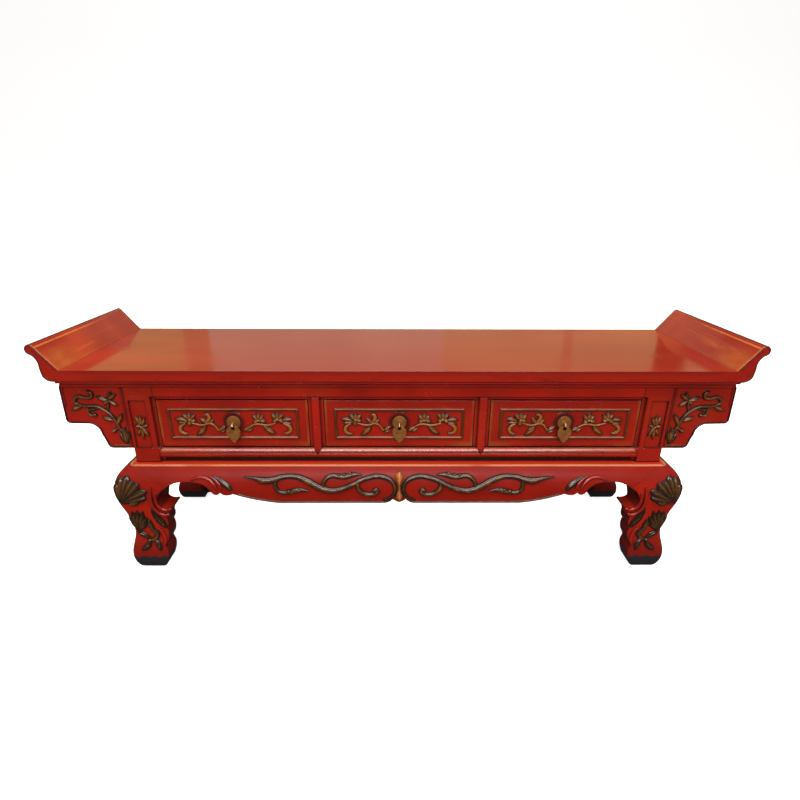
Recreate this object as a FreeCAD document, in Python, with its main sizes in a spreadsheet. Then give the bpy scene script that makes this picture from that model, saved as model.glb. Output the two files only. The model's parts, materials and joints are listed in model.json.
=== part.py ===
import FreeCAD
import Part
import math
import os
import Sketcher
from types import SimpleNamespace

# Low altar table with upturned ends, three drawers and a stand on bowed legs.
# Lengths are in millimetres. The front faces -Y, +X is to the right and +Z is up.
# The origin is on the floor, under the middle of the table.

SIZES = {
    # Top board with its upturned ends
    "board_overhang": 108.0,
    "top_depth": 360.0,
    "board_thick": 24.0,
    "flange_reach": 57.0,
    "flange_rise": 54.0,
    "tongue_thick": 8.0,
    "tongue_deep": 8.0,
    "tongue_end": 20.0,
    "batten_width": 40.0,
    "batten_drop": 10.0,
    "batten_spacing": 350.0,
    "dovetail_deep": 8.0,
    "dovetail_flare": 4.0,
    "moulding_high": 18.0,
    "moulding_step": 1.5,
    "moulding_lip": 4.0,
    "moulding_foot": 5.0,
    "moulding_end": 14.0,
    # Carcass
    "face_set": 22.0,
    "carcass_half": 575.0,
    "carcass_high": 193.5,
    "post_face": 52.0,
    "post_deep": 45.0,
    "post_tenon": 12.0,
    "post_tenon_inset": 14.0,
    "post_tenon_margin": 4.0,
    "post_recess_margin": 6.0,
    "post_recess_inner": 12.0,
    "post_recess_deep": 3.5,
    "reveal_width": 8.0,
    "reveal_deep": 8.0,
    "upper_rail_face": 41.0,
    "upper_rail_thick": 20.0,
    "lower_rail_high": 34.0,
    "nose_high": 22.0,
    "nose_reach": 11.0,
    "muntin_bead": 17.0,
    "muntin_proud": 1.0,
    "muntin_deep": 38.0,
    "muntin_point": 14.0,
    "panel_thick": 8.0,
    "panel_tongue": 5.0,
    "panel_set": 6.0,
    "side_rail_thick": 20.0,
    "side_rail_set": 4.0,
    "side_rail_upper": 32.0,
    "partition_thick": 14.0,
    "bottom_thick": 8.0,
    "runner_width": 14.0,
    "spandrel_thick": 14.0,
    "spandrel_set": 2.0,
    "spandrel_reach": 133.0,
    "spandrel_drop": 160.0,
    # Drawers
    "drawer_gap": 1.2,
    "drawer_proud": 1.0,
    "drawer_front_thick": 18.0,
    "drawer_side_thick": 11.0,
    "drawer_side_set": 1.5,
    "drawer_side_lift": 2.0,
    "drawer_side_drop": 14.0,
    "drawer_bottom_thick": 6.0,
    "drawer_bottom_lift": 8.0,
    "drawer_groove": 5.0,
    "drawer_back_gap": 1.0,
    "runner_gap": 0.3,
    "bead_margin": 19.0,
    "bead_margin_side": 21.0,
    "bead_width": 4.5,
    "bead_high": 3.0,
    # Drawer pulls
    "boss_radius": 21.5,
    "boss_high": 3.5,
    "boss_lift": 6.5,
    "plate_radius": 15.8,
    "plate_thick": 1.6,
    "plate_lift": 4.5,
    "eye_radius": 5.2,
    "eye_wire": 1.4,
    "pin_tail": 3.0,
    "washer_radius": 5.0,
    "drop_width": 29.5,
    "drop_length": 40.0,
    "drop_thick": 2.2,
    "drop_head": 1.6,
    "drop_hole_radius": 3.4,
    "drop_hole_low": 6.0,
    # Stand
    "stand_height": 258.5,
    "ledge_end": 8.0,
    "ledge_deep": 12.0,
    "stand_wall": 30.0,
    "knee_out_side": 42.0,
    "knee_out_front": 22.0,
    "knee_fall": 56.0,
    "corner_radius": 18.0,
    "mitre_start": 12.0,
    "mitre_fall": 46.0,
    "leg_spread": 75.0,
    "leg_side_extra": 18.0,
    "apron_drop": 83.0,
    "apron_hollow": 18.0,
    "frame_width": 45.0,
    "frame_high": 22.0,
    "block_size": 38.0,
    "block_high": 46.0,
    "overrun": 20.0,
}

doc = FreeCAD.newDocument("altar_table")


class Size:
    """A length that knows its value and the expression it comes from."""

    def __init__(self, text, value):
        self.text = text
        self.value = value

    def __add__(self, other):
        other = as_size(other)
        return Size("({} + {})".format(self.text, other.text), self.value + other.value)

    def __sub__(self, other):
        other = as_size(other)
        return Size("({} - {})".format(self.text, other.text), self.value - other.value)

    def __mul__(self, other):
        other = as_size(other)
        return Size("({} * {})".format(self.text, other.text), self.value * other.value)

    def __truediv__(self, other):
        other = as_size(other)
        return Size("({} / {})".format(self.text, other.text), self.value / other.value)

    def __neg__(self):
        return Size("(0 - {})".format(self.text), -self.value)


def as_size(item):
    """A plain number, such as a share, becomes a Size too."""
    if isinstance(item, Size):
        return item
    return Size(repr(float(item)), float(item))


def root(square):
    return Size("sqrt({})".format(square.text), math.sqrt(square.value))


def make_sheet():
    """Put every driving size into the spreadsheet and return them as Sizes."""
    sheet = doc.addObject("Spreadsheet::Sheet", "Sizes")
    for row, (alias, number) in enumerate(SIZES.items(), start=1):
        sheet.set("A{}".format(row), alias)
        sheet.set("B{}".format(row), str(number))
        sheet.setAlias("B{}".format(row), alias)
    doc.recompute()
    return SimpleNamespace(**{alias: Size("Sizes." + alias, number) for alias, number in SIZES.items()})


d = make_sheet()
ZERO = Size("0", 0.0)
pieces = []


# Helpers that make solids

def keep(solid, label):
    """Name a finished sub-part and put it on the list that is written out."""
    solid.Label = label
    pieces.append(solid)
    return solid


def bind_place(solid, place):
    for axis, length in zip("xyz", place):
        solid.setExpression("Placement.Base." + axis, length.text)


def box(name, low, high):
    """A block between its lowest and its highest corner."""
    block = doc.addObject("Part::Box", name)
    for side, start, end in zip(("Length", "Width", "Height"), low, high):
        block.setExpression(side, (end - start).text)
    bind_place(block, low)
    return block


def rod(name, radius, length, start):
    """A cylinder that runs from start towards the front."""
    cylinder = doc.addObject("Part::Cylinder", name)
    cylinder.setExpression("Radius", radius.text)
    cylinder.setExpression("Height", length.text)
    cylinder.Placement.Rotation = FreeCAD.Rotation(FreeCAD.Vector(1, 0, 0), 90)
    bind_place(cylinder, start)
    return cylinder


def fuse(name, *solids):
    joined = doc.addObject("Part::MultiFuse", name)
    joined.Shapes = list(solids)
    joined.Refine = True
    return joined


def common(name, *solids):
    shared = doc.addObject("Part::MultiCommon", name)
    shared.Shapes = list(solids)
    return shared


def cut(name, base, *tools):
    remaining = base
    for number, tool in enumerate(tools, start=1):
        last = number == len(tools)
        result = doc.addObject("Part::Cut", name if last else "{}_cut{}".format(name, number))
        result.Base = remaining
        result.Tool = tool
        remaining = result
    return remaining


def group(name, *solids):
    together = doc.addObject("Part::Compound", name)
    together.Links = list(solids)
    return together


def mirrored(name, source, axis):
    """The same solid on the other side of the table, across X or across Y."""
    copy = doc.addObject("Part::Mirroring", name)
    copy.Source = source
    copy.Normal = FreeCAD.Vector(1, 0, 0) if axis == "X" else FreeCAD.Vector(0, 1, 0)
    return copy


# Outlines are lists of (across, up, bend). The bend shapes the stretch to the next
# point: zero is straight, a number is the tangent of a quarter of the arc's angle
# (positive turns left), and a Size is the radius of an arc that turns left.

def arc_data(start, end, bend):
    """Radius as a Size, and the centre as two numbers, of the arc from start to end."""
    across = end[0] - start[0]
    up = end[1] - start[1]
    chord = root(across * across + up * up)
    if isinstance(bend, Size):
        radius = bend
        offset = math.sqrt(radius.value ** 2 - chord.value ** 2 / 4)
    else:
        radius = chord * ((1 + bend * bend) / (4 * abs(bend)))
        offset = chord.value * (1 - bend * bend) / (4 * bend)
    centre = (
        (start[0].value + end[0].value) / 2 - up.value / chord.value * offset,
        (start[1].value + end[1].value) / 2 + across.value / chord.value * offset,
    )
    return radius, centre


def turns_right(bend):
    return not isinstance(bend, Size) and bend < 0


def outline_edge(start, end, bend):
    """One stretch of an outline as sketch geometry, with its radius if it is an arc."""
    first = FreeCAD.Vector(start[0].value, start[1].value, 0)
    last = FreeCAD.Vector(end[0].value, end[1].value, 0)
    if not isinstance(bend, Size) and bend == 0:
        return Part.LineSegment(first, last), None
    radius, centre = arc_data(start, end, bend)
    if turns_right(bend):
        first, last = last, first
    from_angle = math.atan2(first.y - centre[1], first.x - centre[0])
    to_angle = math.atan2(last.y - centre[1], last.x - centre[0])
    if to_angle < from_angle:
        to_angle += 2 * math.pi
    circle = Part.Circle(FreeCAD.Vector(centre[0], centre[1], 0), FreeCAD.Vector(0, 0, 1), radius.value)
    return Part.ArcOfCircle(circle, from_angle, to_angle), radius


def draw(sketch, outline):
    """Draw a closed outline and bind every point and radius to the sizes."""
    edges = []
    radii = []
    for number, (across, up, bend) in enumerate(outline):
        following = outline[(number + 1) % len(outline)]
        edge, radius = outline_edge((across, up), following[:2], bend)
        edges.append(edge)
        radii.append(radius)
    sketch.addGeometry(edges, False)
    rules = []
    bound = []
    for number, (across, up, bend) in enumerate(outline):
        head, tail = (2, 1) if turns_right(bend) else (1, 2)
        after = (number + 1) % len(outline)
        after_head = 2 if turns_right(outline[after][2]) else 1
        rules.append(Sketcher.Constraint("Coincident", number, tail, after, after_head))
        bound.append(None)
        rules.append(Sketcher.Constraint("DistanceX", -1, 1, number, head, across.value))
        bound.append(across)
        rules.append(Sketcher.Constraint("DistanceY", -1, 1, number, head, up.value))
        bound.append(up)
        if radii[number] is not None:
            rules.append(Sketcher.Constraint("Radius", number, radii[number].value))
            bound.append(radii[number])
    sketch.addConstraint(rules)
    for index, length in enumerate(bound):
        if length is not None:
            sketch.setExpression("Constraints[{}]".format(index), length.text)


def origin_plane(body, role):
    return next(item for item in body.Origin.OriginFeatures if item.Role == role)


def new_sketch(body, name, role):
    sketch = body.newObject("Sketcher::SketchObject", name)
    sketch.AttachmentSupport = [(origin_plane(body, role), "")]
    sketch.MapMode = "FlatFace"
    return sketch


def board(name, plane, outline, low, high):
    """An outline sawn from a board that reaches from low to high across its plane."""
    body = doc.addObject("PartDesign::Body", name)
    sketch = new_sketch(body, name + "_outline", plane + "_Plane")
    draw(sketch, outline)
    pad = body.newObject("PartDesign::Pad", name + "_pad")
    pad.Profile = sketch
    pad.setExpression("Length", (high - low).text)
    if plane == "XZ":
        body.setExpression("Placement.Base.y", high.text)
    if plane == "YZ":
        body.setExpression("Placement.Base.x", low.text)
    if plane == "XY":
        body.setExpression("Placement.Base.z", low.text)
    return body


def both_halves(half):
    """Close an outline whose first half runs from the middle outwards to the right."""
    outline = list(half)
    for number in range(len(half) - 1, -1, -1):
        across, up, bend = half[number]
        before = half[number - 1][2] if number > 0 else 0
        outline.append((-across, up, before))
    return outline


# Levels and planes that several pieces share

top_edge = d.top_depth / 2
underside = d.stand_height + d.carcass_high
table_height = underside + d.board_thick
crease_half = d.carcass_half + d.board_overhang
face = top_edge - d.face_set
post_back = face - d.post_deep
reveal_plane = face - d.reveal_deep
post_inner = d.carcass_half - d.post_face
opening_end = post_inner - d.reveal_width
rail_bottom = underside - d.upper_rail_face
opening_top = rail_bottom - d.reveal_width
opening_low = d.stand_height + d.lower_rail_high
muntin_width = d.muntin_bead + d.reveal_width * 2
opening_width = (opening_end * 2 - muntin_width * 2) / 3
muntin_centre = (opening_width + muntin_width) / 2
back_inner = face - d.panel_set - d.panel_thick
side_inner = d.carcass_half - d.side_rail_set - d.side_rail_thick
panel_middle = d.carcass_half - d.side_rail_set - d.side_rail_thick / 2
stand_half = d.carcass_half + d.ledge_end
stand_front = face + d.ledge_deep
knee_height = d.stand_height - d.knee_fall
mitre_height = d.stand_height - d.mitre_fall
frame_bottom = d.stand_height - d.frame_high
stand_inner_x = stand_half - d.stand_wall
stand_inner_y = stand_front - d.stand_wall
knee_x = stand_half + d.knee_out_side
knee_y = stand_front + d.knee_out_front


# The top

def batten(name, centre):
    """A cross batten in a sliding dovetail under the board."""
    half = d.batten_width / 2
    wide = half - d.dovetail_flare
    neck = wide - d.dovetail_flare
    outline = [
        (centre - half, underside - d.batten_drop, 0),
        (centre + half, underside - d.batten_drop, 0),
        (centre + half, underside, 0),
        (centre + neck, underside, 0),
        (centre + wide, underside + d.dovetail_deep, 0),
        (centre - wide, underside + d.dovetail_deep, 0),
        (centre - neck, underside, 0),
        (centre - half, underside, 0),
    ]
    inner = face - d.upper_rail_thick
    return board(name, "XZ", outline, -inner, inner)


def board_tongue(name):
    """The tongue on the right end of the board, which the upturned end fits over."""
    middle = underside + d.board_thick / 2
    reach = top_edge - d.tongue_end
    return box(
        name,
        (crease_half, -reach, middle - d.tongue_thick / 2),
        (crease_half + d.tongue_deep, reach, middle + d.tongue_thick / 2),
    )


def make_top():
    battens = group(
        "battens",
        batten("batten_left", -d.batten_spacing),
        batten("batten_middle", ZERO),
        batten("batten_right", d.batten_spacing),
    )
    keep(battens, "top_battens")
    plank = box(
        "plank",
        (-crease_half, -top_edge, underside),
        (crease_half, top_edge, table_height),
    )
    tongue = board_tongue("tongue_right")
    tongued = fuse("plank_tongued", plank, tongue, mirrored("tongue_left", tongue, "X"))
    front_mortise = post_tenons("board_mortise_front")
    back_mortise = mirrored("board_mortise_back", front_mortise, "Y")
    mortises = group("board_mortises", front_mortise, back_mortise)
    tools = (battens, mortises, mirrored("board_mortises_left", mortises, "X"))
    keep(cut("board_cut", tongued, *tools), "top_board")


# Shares of the flange's reach and rise, from the crease; the bottom is the board's
FLANGE_SHARES = [
    (0.30, -0.42, 0.27),
    (0.61, -0.24, 0.04),
    (0.655, 0.14, -0.30),
    (0.85, 0.60, 0.86),
    (0.82, 1.0, 0.16),
    (0.69, 0.90, 0.0),
]


def make_flanges():
    bottom = (crease_half + d.flange_reach * FLANGE_SHARES[0][0], underside, FLANGE_SHARES[0][2])
    outline = [(crease_half, underside, 0), bottom]
    for reach_share, rise_share, bend in FLANGE_SHARES[1:]:
        across = crease_half + d.flange_reach * reach_share
        outline.append((across, table_height + d.flange_rise * rise_share, bend))
    outline.append((crease_half, table_height, 0))
    blank = board("flange_blank", "XZ", outline, -top_edge, top_edge)
    flange = cut("flange", blank, board_tongue("flange_groove"))
    keep(flange, "flange_right")
    keep(mirrored("flange_mirrored", flange, "X"), "flange_left")


def make_moulding():
    """A coved strip under the front edge of the board, and its twin at the back."""
    outer = top_edge - d.moulding_step
    low = underside - d.moulding_high
    foot_front = face + d.moulding_foot
    outline = [
        (-outer, underside, 0),
        (-outer, underside - d.moulding_lip, -0.3),
        (-foot_front, low + d.moulding_foot, 0.4),
        (-(face + d.moulding_foot / 2), low, 0),
        (-face, low, 0),
        (-face, underside, 0),
    ]
    reach = crease_half + d.moulding_end
    front = board("moulding_front", "YZ", outline, -reach, reach)
    keep(group("mouldings", front, mirrored("moulding_back", front, "Y")), "top_mouldings")


# The carcass

def post_tenon(name, low, high):
    """A stub tenon on the right front post, between two levels, inside the stand's walls."""
    margin = d.post_tenon_margin
    return box(
        name,
        (post_inner + margin, -(stand_inner_y - margin), low),
        (stand_inner_x - margin, -(post_back + d.post_tenon_inset), high),
    )


def post_tenons(name):
    return fuse(
        name,
        post_tenon(name + "_low", d.stand_height - d.post_tenon, d.stand_height),
        post_tenon(name + "_high", underside, underside + d.post_tenon),
    )


def back_panel_blank(name):
    edge = opening_end + d.panel_tongue
    return box(
        name,
        (-edge, back_inner, opening_low - d.panel_tongue),
        (edge, back_inner + d.panel_thick, rail_bottom + d.panel_tongue),
    )


def side_panel_blank(name):
    inner = panel_middle - d.panel_thick / 2
    edge = post_back + d.panel_tongue
    return box(
        name,
        (inner, -edge, opening_low - d.panel_tongue),
        (inner + d.panel_thick, edge, underside - d.side_rail_upper + d.panel_tongue),
    )


def make_posts():
    shaft = box(
        "front_shaft",
        (post_inner, -face, d.stand_height),
        (d.carcass_half, -post_back, underside),
    )
    lip = box(
        "front_lip",
        (opening_end, -reveal_plane, d.stand_height),
        (post_inner, -post_back, rail_bottom),
    )
    shoulder = box(
        "front_shoulder",
        (opening_end, -face, rail_bottom),
        (post_inner, -post_back, underside),
    )
    recess = box(
        "front_recess",
        (post_inner + d.post_recess_inner, -(face + d.overrun), opening_low),
        (d.carcass_half - d.post_recess_margin, -(face - d.post_recess_deep), opening_top),
    )
    mitre = post_mitre("front_mitre", face)
    solid = fuse("front_post_solid", shaft, lip, shoulder, mitre, post_tenons("front_tenons"))
    front = cut("front_post", solid, recess, side_panel_blank("front_post_groove"))
    keep(front, "post_front_right")
    keep(mirrored("front_post_mirrored", front, "X"), "post_front_left")

    plain = box(
        "back_shaft",
        (opening_end, -face, d.stand_height),
        (d.carcass_half, -post_back, underside),
    )
    solid = fuse("back_post_solid", plain, post_tenons("back_tenons"))
    turned = mirrored("back_post_turned", solid, "Y")
    back = cut(
        "back_post", turned, side_panel_blank("back_post_groove"), back_panel_blank("back_post_slot")
    )
    keep(back, "post_back_right")
    keep(mirrored("back_post_mirrored", back, "X"), "post_back_left")


def make_upper_rails():
    rail = box(
        "upper_rail_block",
        (-opening_end, -face, opening_top),
        (opening_end, -(face - d.upper_rail_thick), underside),
    )
    rebate = box(
        "upper_rail_rebate",
        (-opening_end, -face, opening_top),
        (opening_end, -reveal_plane, rail_bottom),
    )
    keep(cut("upper_rail_front_cut", rail, rebate), "upper_rail_front")
    back = box(
        "upper_rail_back_block",
        (-opening_end, face - d.upper_rail_thick, rail_bottom),
        (opening_end, face, underside),
    )
    keep(cut("upper_rail_back_cut", back, back_panel_blank("upper_rail_groove")), "upper_rail_back")


def muntin_bead(name, centre, front):
    """The raised bead of a muntin, with a pointed lower end let into the nose below."""
    half = d.muntin_bead / 2
    point = opening_low - d.muntin_point
    outline = [
        (centre, point, 0),
        (centre + half, opening_low, 0),
        (centre + half, rail_bottom, 0),
        (centre - half, rail_bottom, 0),
        (centre - half, opening_low, 0),
    ]
    return board(name, "XZ", outline, -front, -reveal_plane)


def post_mitre(name, front):
    """The slanting foot of the right post's lip, which the nose ends against."""
    outline = [
        (post_inner, opening_low - d.nose_high, 0),
        (post_inner, opening_low, 0),
        (opening_end, opening_low, 0),
    ]
    return board(name, "XZ", outline, -front, -reveal_plane)


def make_lower_rails():
    block = box(
        "lower_rail_block",
        (-opening_end, -reveal_plane, d.stand_height),
        (opening_end, -post_back, opening_low),
    )
    nose_outline = [
        (-reveal_plane, opening_low, 0.0),
        (-(reveal_plane + d.nose_reach / 2), opening_low, 0.6),
        (-(reveal_plane + d.nose_reach), opening_low - d.nose_high / 2, 0.6),
        (-(reveal_plane + d.nose_reach / 2), opening_low - d.nose_high, 0.0),
        (-reveal_plane, opening_low - d.nose_high, 0),
    ]
    nose = board("lower_rail_nose", "YZ", nose_outline, -post_inner, post_inner)
    front = face + d.overrun
    end = post_mitre("lower_rail_end", front)
    notches = [end, mirrored("lower_rail_end_left", end, "X")]
    for side, centre in (("left", -muntin_centre), ("right", muntin_centre)):
        notches.append(muntin_bead("lower_rail_notch_" + side, centre, front))
    rail = cut("lower_rail_front_cut", fuse("lower_rail_solid", block, nose), *notches)
    keep(rail, "lower_rail_front")
    back = box(
        "lower_rail_back_block",
        (-opening_end, post_back, d.stand_height),
        (opening_end, face, opening_low),
    )
    keep(cut("lower_rail_back_cut", back, back_panel_blank("lower_rail_groove")), "lower_rail_back")


def make_muntins():
    for side, centre in (("left", -muntin_centre), ("right", muntin_centre)):
        core = box(
            "muntin_core_" + side,
            (centre - muntin_width / 2, -reveal_plane, opening_low),
            (centre + muntin_width / 2, -(face - d.muntin_deep), opening_top),
        )
        bead = muntin_bead("muntin_bead_" + side, centre, face + d.muntin_proud)
        keep(fuse("muntin_joined_" + side, core, bead), "muntin_" + side)


def make_side_rails():
    solids = []
    for level, low, high in (
        ("low", d.stand_height, opening_low),
        ("high", underside - d.side_rail_upper, underside),
    ):
        rail = box(
            "side_rail_" + level,
            (side_inner, -post_back, low),
            (side_inner + d.side_rail_thick, post_back, high),
        )
        solids.append(cut("side_rail_cut_" + level, rail, side_panel_blank("side_groove_" + level)))
    rails = group("side_rails", *solids)
    keep(rails, "side_rails_right")
    keep(mirrored("side_rails_mirrored", rails, "X"), "side_rails_left")


def make_panels():
    keep(back_panel_blank("back_panel_solid"), "back_panel")
    side = side_panel_blank("side_panel_solid")
    keep(side, "side_panel_right")
    keep(mirrored("side_panel_mirrored", side, "X"), "side_panel_left")
    floor = box(
        "bottom_solid",
        (-side_inner, -post_back, d.stand_height),
        (side_inner, post_back, d.stand_height + d.bottom_thick),
    )
    corner = box(
        "bottom_notch",
        (opening_end, -post_back, d.stand_height),
        (side_inner, post_back, d.stand_height + d.bottom_thick),
    )
    trimmed = cut("bottom_cut", floor, corner, mirrored("bottom_notch_left", corner, "X"))
    keep(trimmed, "bottom_board")


def make_partitions():
    for side, centre in (("left", -muntin_centre), ("right", muntin_centre)):
        partition = box(
            "partition_solid_" + side,
            (centre - d.partition_thick / 2, -(face - d.muntin_deep), opening_low),
            (centre + d.partition_thick / 2, back_inner, opening_top),
        )
        keep(partition, "partition_" + side)


# Shares of the spandrel's reach from the post and of its drop from the board
SPANDREL_SHARES = [
    (0.0, 1.0, 0.0),
    (0.33, 1.0, 0.36),
    (0.42, 0.945, -0.04),
    (0.48, 0.79, -0.36),
    (0.635, 0.64, 0.0),
    (0.935, 0.635, 0.40),
    (1.0, 0.57, 0.0),
    (0.995, 0.13, 0.0),
    (0.93, 0.0, 0.0),
    (0.0, 0.0, 0.0),
]


def make_spandrels():
    outline = []
    for reach_share, drop_share, bend in SPANDREL_SHARES:
        across = d.carcass_half + d.spandrel_reach * reach_share
        outline.append((across, underside - d.spandrel_drop * drop_share, bend))
    front = -(face - d.spandrel_set)
    right = board("spandrel", "XZ", outline, front, front + d.spandrel_thick)
    keep(right, "spandrel_front_right")
    keep(mirrored("spandrel_two", right, "X"), "spandrel_front_left")
    back = mirrored("spandrel_three", right, "Y")
    keep(back, "spandrel_back_right")
    keep(mirrored("spandrel_four", back, "X"), "spandrel_back_left")


# The drawers

drawer_low = opening_low + d.drawer_gap
drawer_high = opening_top - d.drawer_gap
drawer_half = opening_width / 2 - d.drawer_gap
drawer_face = reveal_plane + d.drawer_proud
front_back = drawer_face - d.drawer_front_thick
side_low = drawer_low + d.drawer_side_lift
side_high = drawer_high - d.drawer_side_drop
side_out = drawer_half - d.drawer_side_set
side_in = side_out - d.drawer_side_thick
drawer_back = back_inner - d.drawer_back_gap
drawer_pitch = opening_width + muntin_width
pull_height = (drawer_low + drawer_high) / 2
DRAWERS = (("left", -drawer_pitch), ("middle", ZERO), ("right", drawer_pitch))


def make_runners():
    """Two strips under each drawer's sides, on the bottom board."""
    strips = []
    middle = (side_in + side_out) / 2
    for drawer, centre in DRAWERS:
        for side, across in (("left", centre - middle), ("right", centre + middle)):
            strip = box(
                "runner_{}_{}".format(drawer, side),
                (across - d.runner_width / 2, -post_back, d.stand_height + d.bottom_thick),
                (across + d.runner_width / 2, post_back, side_low - d.runner_gap),
            )
            strips.append(strip)
    keep(group("runners", *strips), "drawer_runners")


def pull_shank(name, centre):
    """The straight tail of a pull's pin, from the plate to inside the drawer."""
    start = front_back - d.pin_tail
    length = drawer_face + d.boss_high + d.plate_thick + d.eye_wire - start
    return rod(name, d.eye_wire, length, (centre, -start, pull_height))


def make_drawer_front(drawer, centre):
    block = box(
        "front_block_" + drawer,
        (centre - drawer_half, -drawer_face, drawer_low),
        (centre + drawer_half, -front_back, drawer_high),
    )
    bead_front = -(drawer_face + d.bead_high)
    outer = drawer_half - d.bead_margin_side
    inner = outer - d.bead_width
    outer_low = drawer_low + d.bead_margin
    outer_high = drawer_high - d.bead_margin
    bead = cut(
        "front_bead_" + drawer,
        box(
            "front_bead_outer_" + drawer,
            (centre - outer, bead_front, outer_low),
            (centre + outer, -drawer_face, outer_high),
        ),
        box(
            "front_bead_inner_" + drawer,
            (centre - inner, bead_front, outer_low + d.bead_width),
            (centre + inner, -drawer_face, outer_high - d.bead_width),
        ),
    )
    boss = rod(
        "front_boss_" + drawer,
        d.boss_radius,
        d.boss_high,
        (centre, -drawer_face, pull_height + d.boss_lift),
    )
    solid = fuse("front_solid_" + drawer, block, bead, boss)
    groove = box(
        "front_groove_" + drawer,
        (centre - side_in, -front_back - d.drawer_groove, side_low + d.drawer_bottom_lift),
        (
            centre + side_in,
            -front_back,
            side_low + d.drawer_bottom_lift + d.drawer_bottom_thick,
        ),
    )
    hole = pull_shank("front_hole_" + drawer, centre)
    keep(cut("front_cut_" + drawer, solid, groove, hole), "drawer_{}_front".format(drawer))


def drawer_bottom_blank(name, centre):
    reach = side_in + d.drawer_groove
    low = side_low + d.drawer_bottom_lift
    return box(
        name,
        (centre - reach, -front_back, low),
        (centre + reach, drawer_back, low + d.drawer_bottom_thick),
    )


def make_drawer_box(drawer, centre):
    sides = []
    for side, low, high in (
        ("left", centre - side_out, centre - side_in),
        ("right", centre + side_in, centre + side_out),
    ):
        wall = box(
            "wall_{}_{}".format(drawer, side),
            (low, -front_back, side_low),
            (high, drawer_back, side_high),
        )
        slot = drawer_bottom_blank("wall_slot_{}_{}".format(drawer, side), centre)
        sides.append(cut("wall_cut_{}_{}".format(drawer, side), wall, slot))
    keep(group("walls_" + drawer, *sides), "drawer_{}_sides".format(drawer))
    back = box(
        "back_block_" + drawer,
        (
            centre - side_in,
            drawer_back - d.drawer_side_thick,
            side_low + d.drawer_bottom_lift + d.drawer_bottom_thick,
        ),
        (centre + side_in, drawer_back, side_high),
    )
    keep(back, "drawer_{}_back".format(drawer))
    tongue = box(
        "bottom_tongue_" + drawer,
        (centre - side_in, -front_back - d.drawer_groove, side_low + d.drawer_bottom_lift),
        (
            centre + side_in,
            -front_back,
            side_low + d.drawer_bottom_lift + d.drawer_bottom_thick,
        ),
    )
    blank = drawer_bottom_blank("bottom_blank_" + drawer, centre)
    keep(fuse("bottom_joined_" + drawer, blank, tongue), "drawer_{}_bottom".format(drawer))


# Shares of the drop's half width and of its length, from the eye down to the tip
DROP_SHARES = [
    (0.0, 1.0, 0.10),
    (0.72, 0.68, 0.20),
    (1.0, 0.37, 0.22),
    (0.80, 0.13, 0.14),
    (0.30, 0.02, -0.20),
]


def make_pull(drawer, centre):
    plate_back = drawer_face + d.boss_high
    plate_front = plate_back + d.plate_thick
    eye_centre = plate_front + d.eye_radius + d.eye_wire
    disc = rod(
        "plate_disc_" + drawer,
        d.plate_radius,
        d.plate_thick,
        (centre, -plate_back, pull_height + d.plate_lift),
    )
    plate = cut("plate_cut_" + drawer, disc, pull_shank("plate_hole_" + drawer, centre))
    keep(plate, "pull_{}_plate".format(drawer))

    eye = doc.addObject("Part::Torus", "eye_" + drawer)
    eye.setExpression("Radius1", d.eye_radius.text)
    eye.setExpression("Radius2", d.eye_wire.text)
    eye.Placement.Rotation = FreeCAD.Rotation(FreeCAD.Vector(0, 1, 0), 90)
    bind_place(eye, (centre, -eye_centre, pull_height))
    washer = rod(
        "washer_" + drawer,
        d.washer_radius,
        d.eye_wire,
        (centre, -(front_back - d.eye_wire), pull_height),
    )
    pin = fuse("pin_" + drawer, eye, pull_shank("shank_" + drawer, centre), washer)
    keep(pin, "pull_{}_pin".format(drawer))

    half = []
    for width_share, length_share, bend in DROP_SHARES:
        across = d.drop_width / 2 * width_share
        half.append((across, pull_height - d.drop_length * length_share, bend))
    half.append((d.drop_head, pull_height + d.drop_head, 0))
    outline = []
    for across, up, bend in both_halves(half)[:-1]:
        outline.append((centre + across, up, bend))
    drop_y = -eye_centre
    leaf = board(
        "leaf_" + drawer, "XZ", outline, drop_y - d.drop_thick / 2, drop_y + d.drop_thick / 2
    )
    hole = rod(
        "leaf_hole_" + drawer,
        d.drop_hole_radius,
        d.drop_thick,
        (centre, drop_y + d.drop_thick / 2, pull_height - d.drop_hole_low),
    )
    keep(cut("drop_" + drawer, leaf, hole), "pull_{}_drop".format(drawer))


# The stand

def shoulder_radius(bulge):
    """Radius of the rounded shoulder from the ledge down to the widest line of the knee."""
    return (bulge * bulge + d.knee_fall * d.knee_fall) / (bulge * 2)


def shoulder_out(bulge, share):
    """How far the shoulder stands out, at a share of the way from the knee to the ledge."""
    radius = shoulder_radius(bulge)
    rise = d.knee_fall * share
    return bulge - radius + root(radius * radius - rise * rise)


# Levels as shares of the knee's height with the leg's bulge there as a share
LEG_BULGE_SHARES = [
    (0.0, 0.60),
    (0.085, 0.78),
    (0.19, 0.79),
    (0.31, 0.64),
    (0.44, 0.51),
    (0.58, 0.58),
    (0.72, 0.74),
    (0.865, 0.95),
    (1.0, 1.0),
]
SHOULDER_LEVEL_SHARES = [0.30, 0.57, 0.75, 0.89, 1.0]


def leg_stations():
    """Heights up the leg, with how far it stands out to the side and to the front."""
    stations = []
    for level_share, bulge_share in LEG_BULGE_SHARES:
        side = d.knee_out_side * bulge_share
        front = d.knee_out_front * bulge_share
        stations.append((knee_height * level_share, side, front))
    for share in SHOULDER_LEVEL_SHARES:
        level = knee_height + d.knee_fall * share
        side = shoulder_out(d.knee_out_side, share)
        front = shoulder_out(d.knee_out_front, share)
        stations.append((level, side, front))
    return stations


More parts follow.
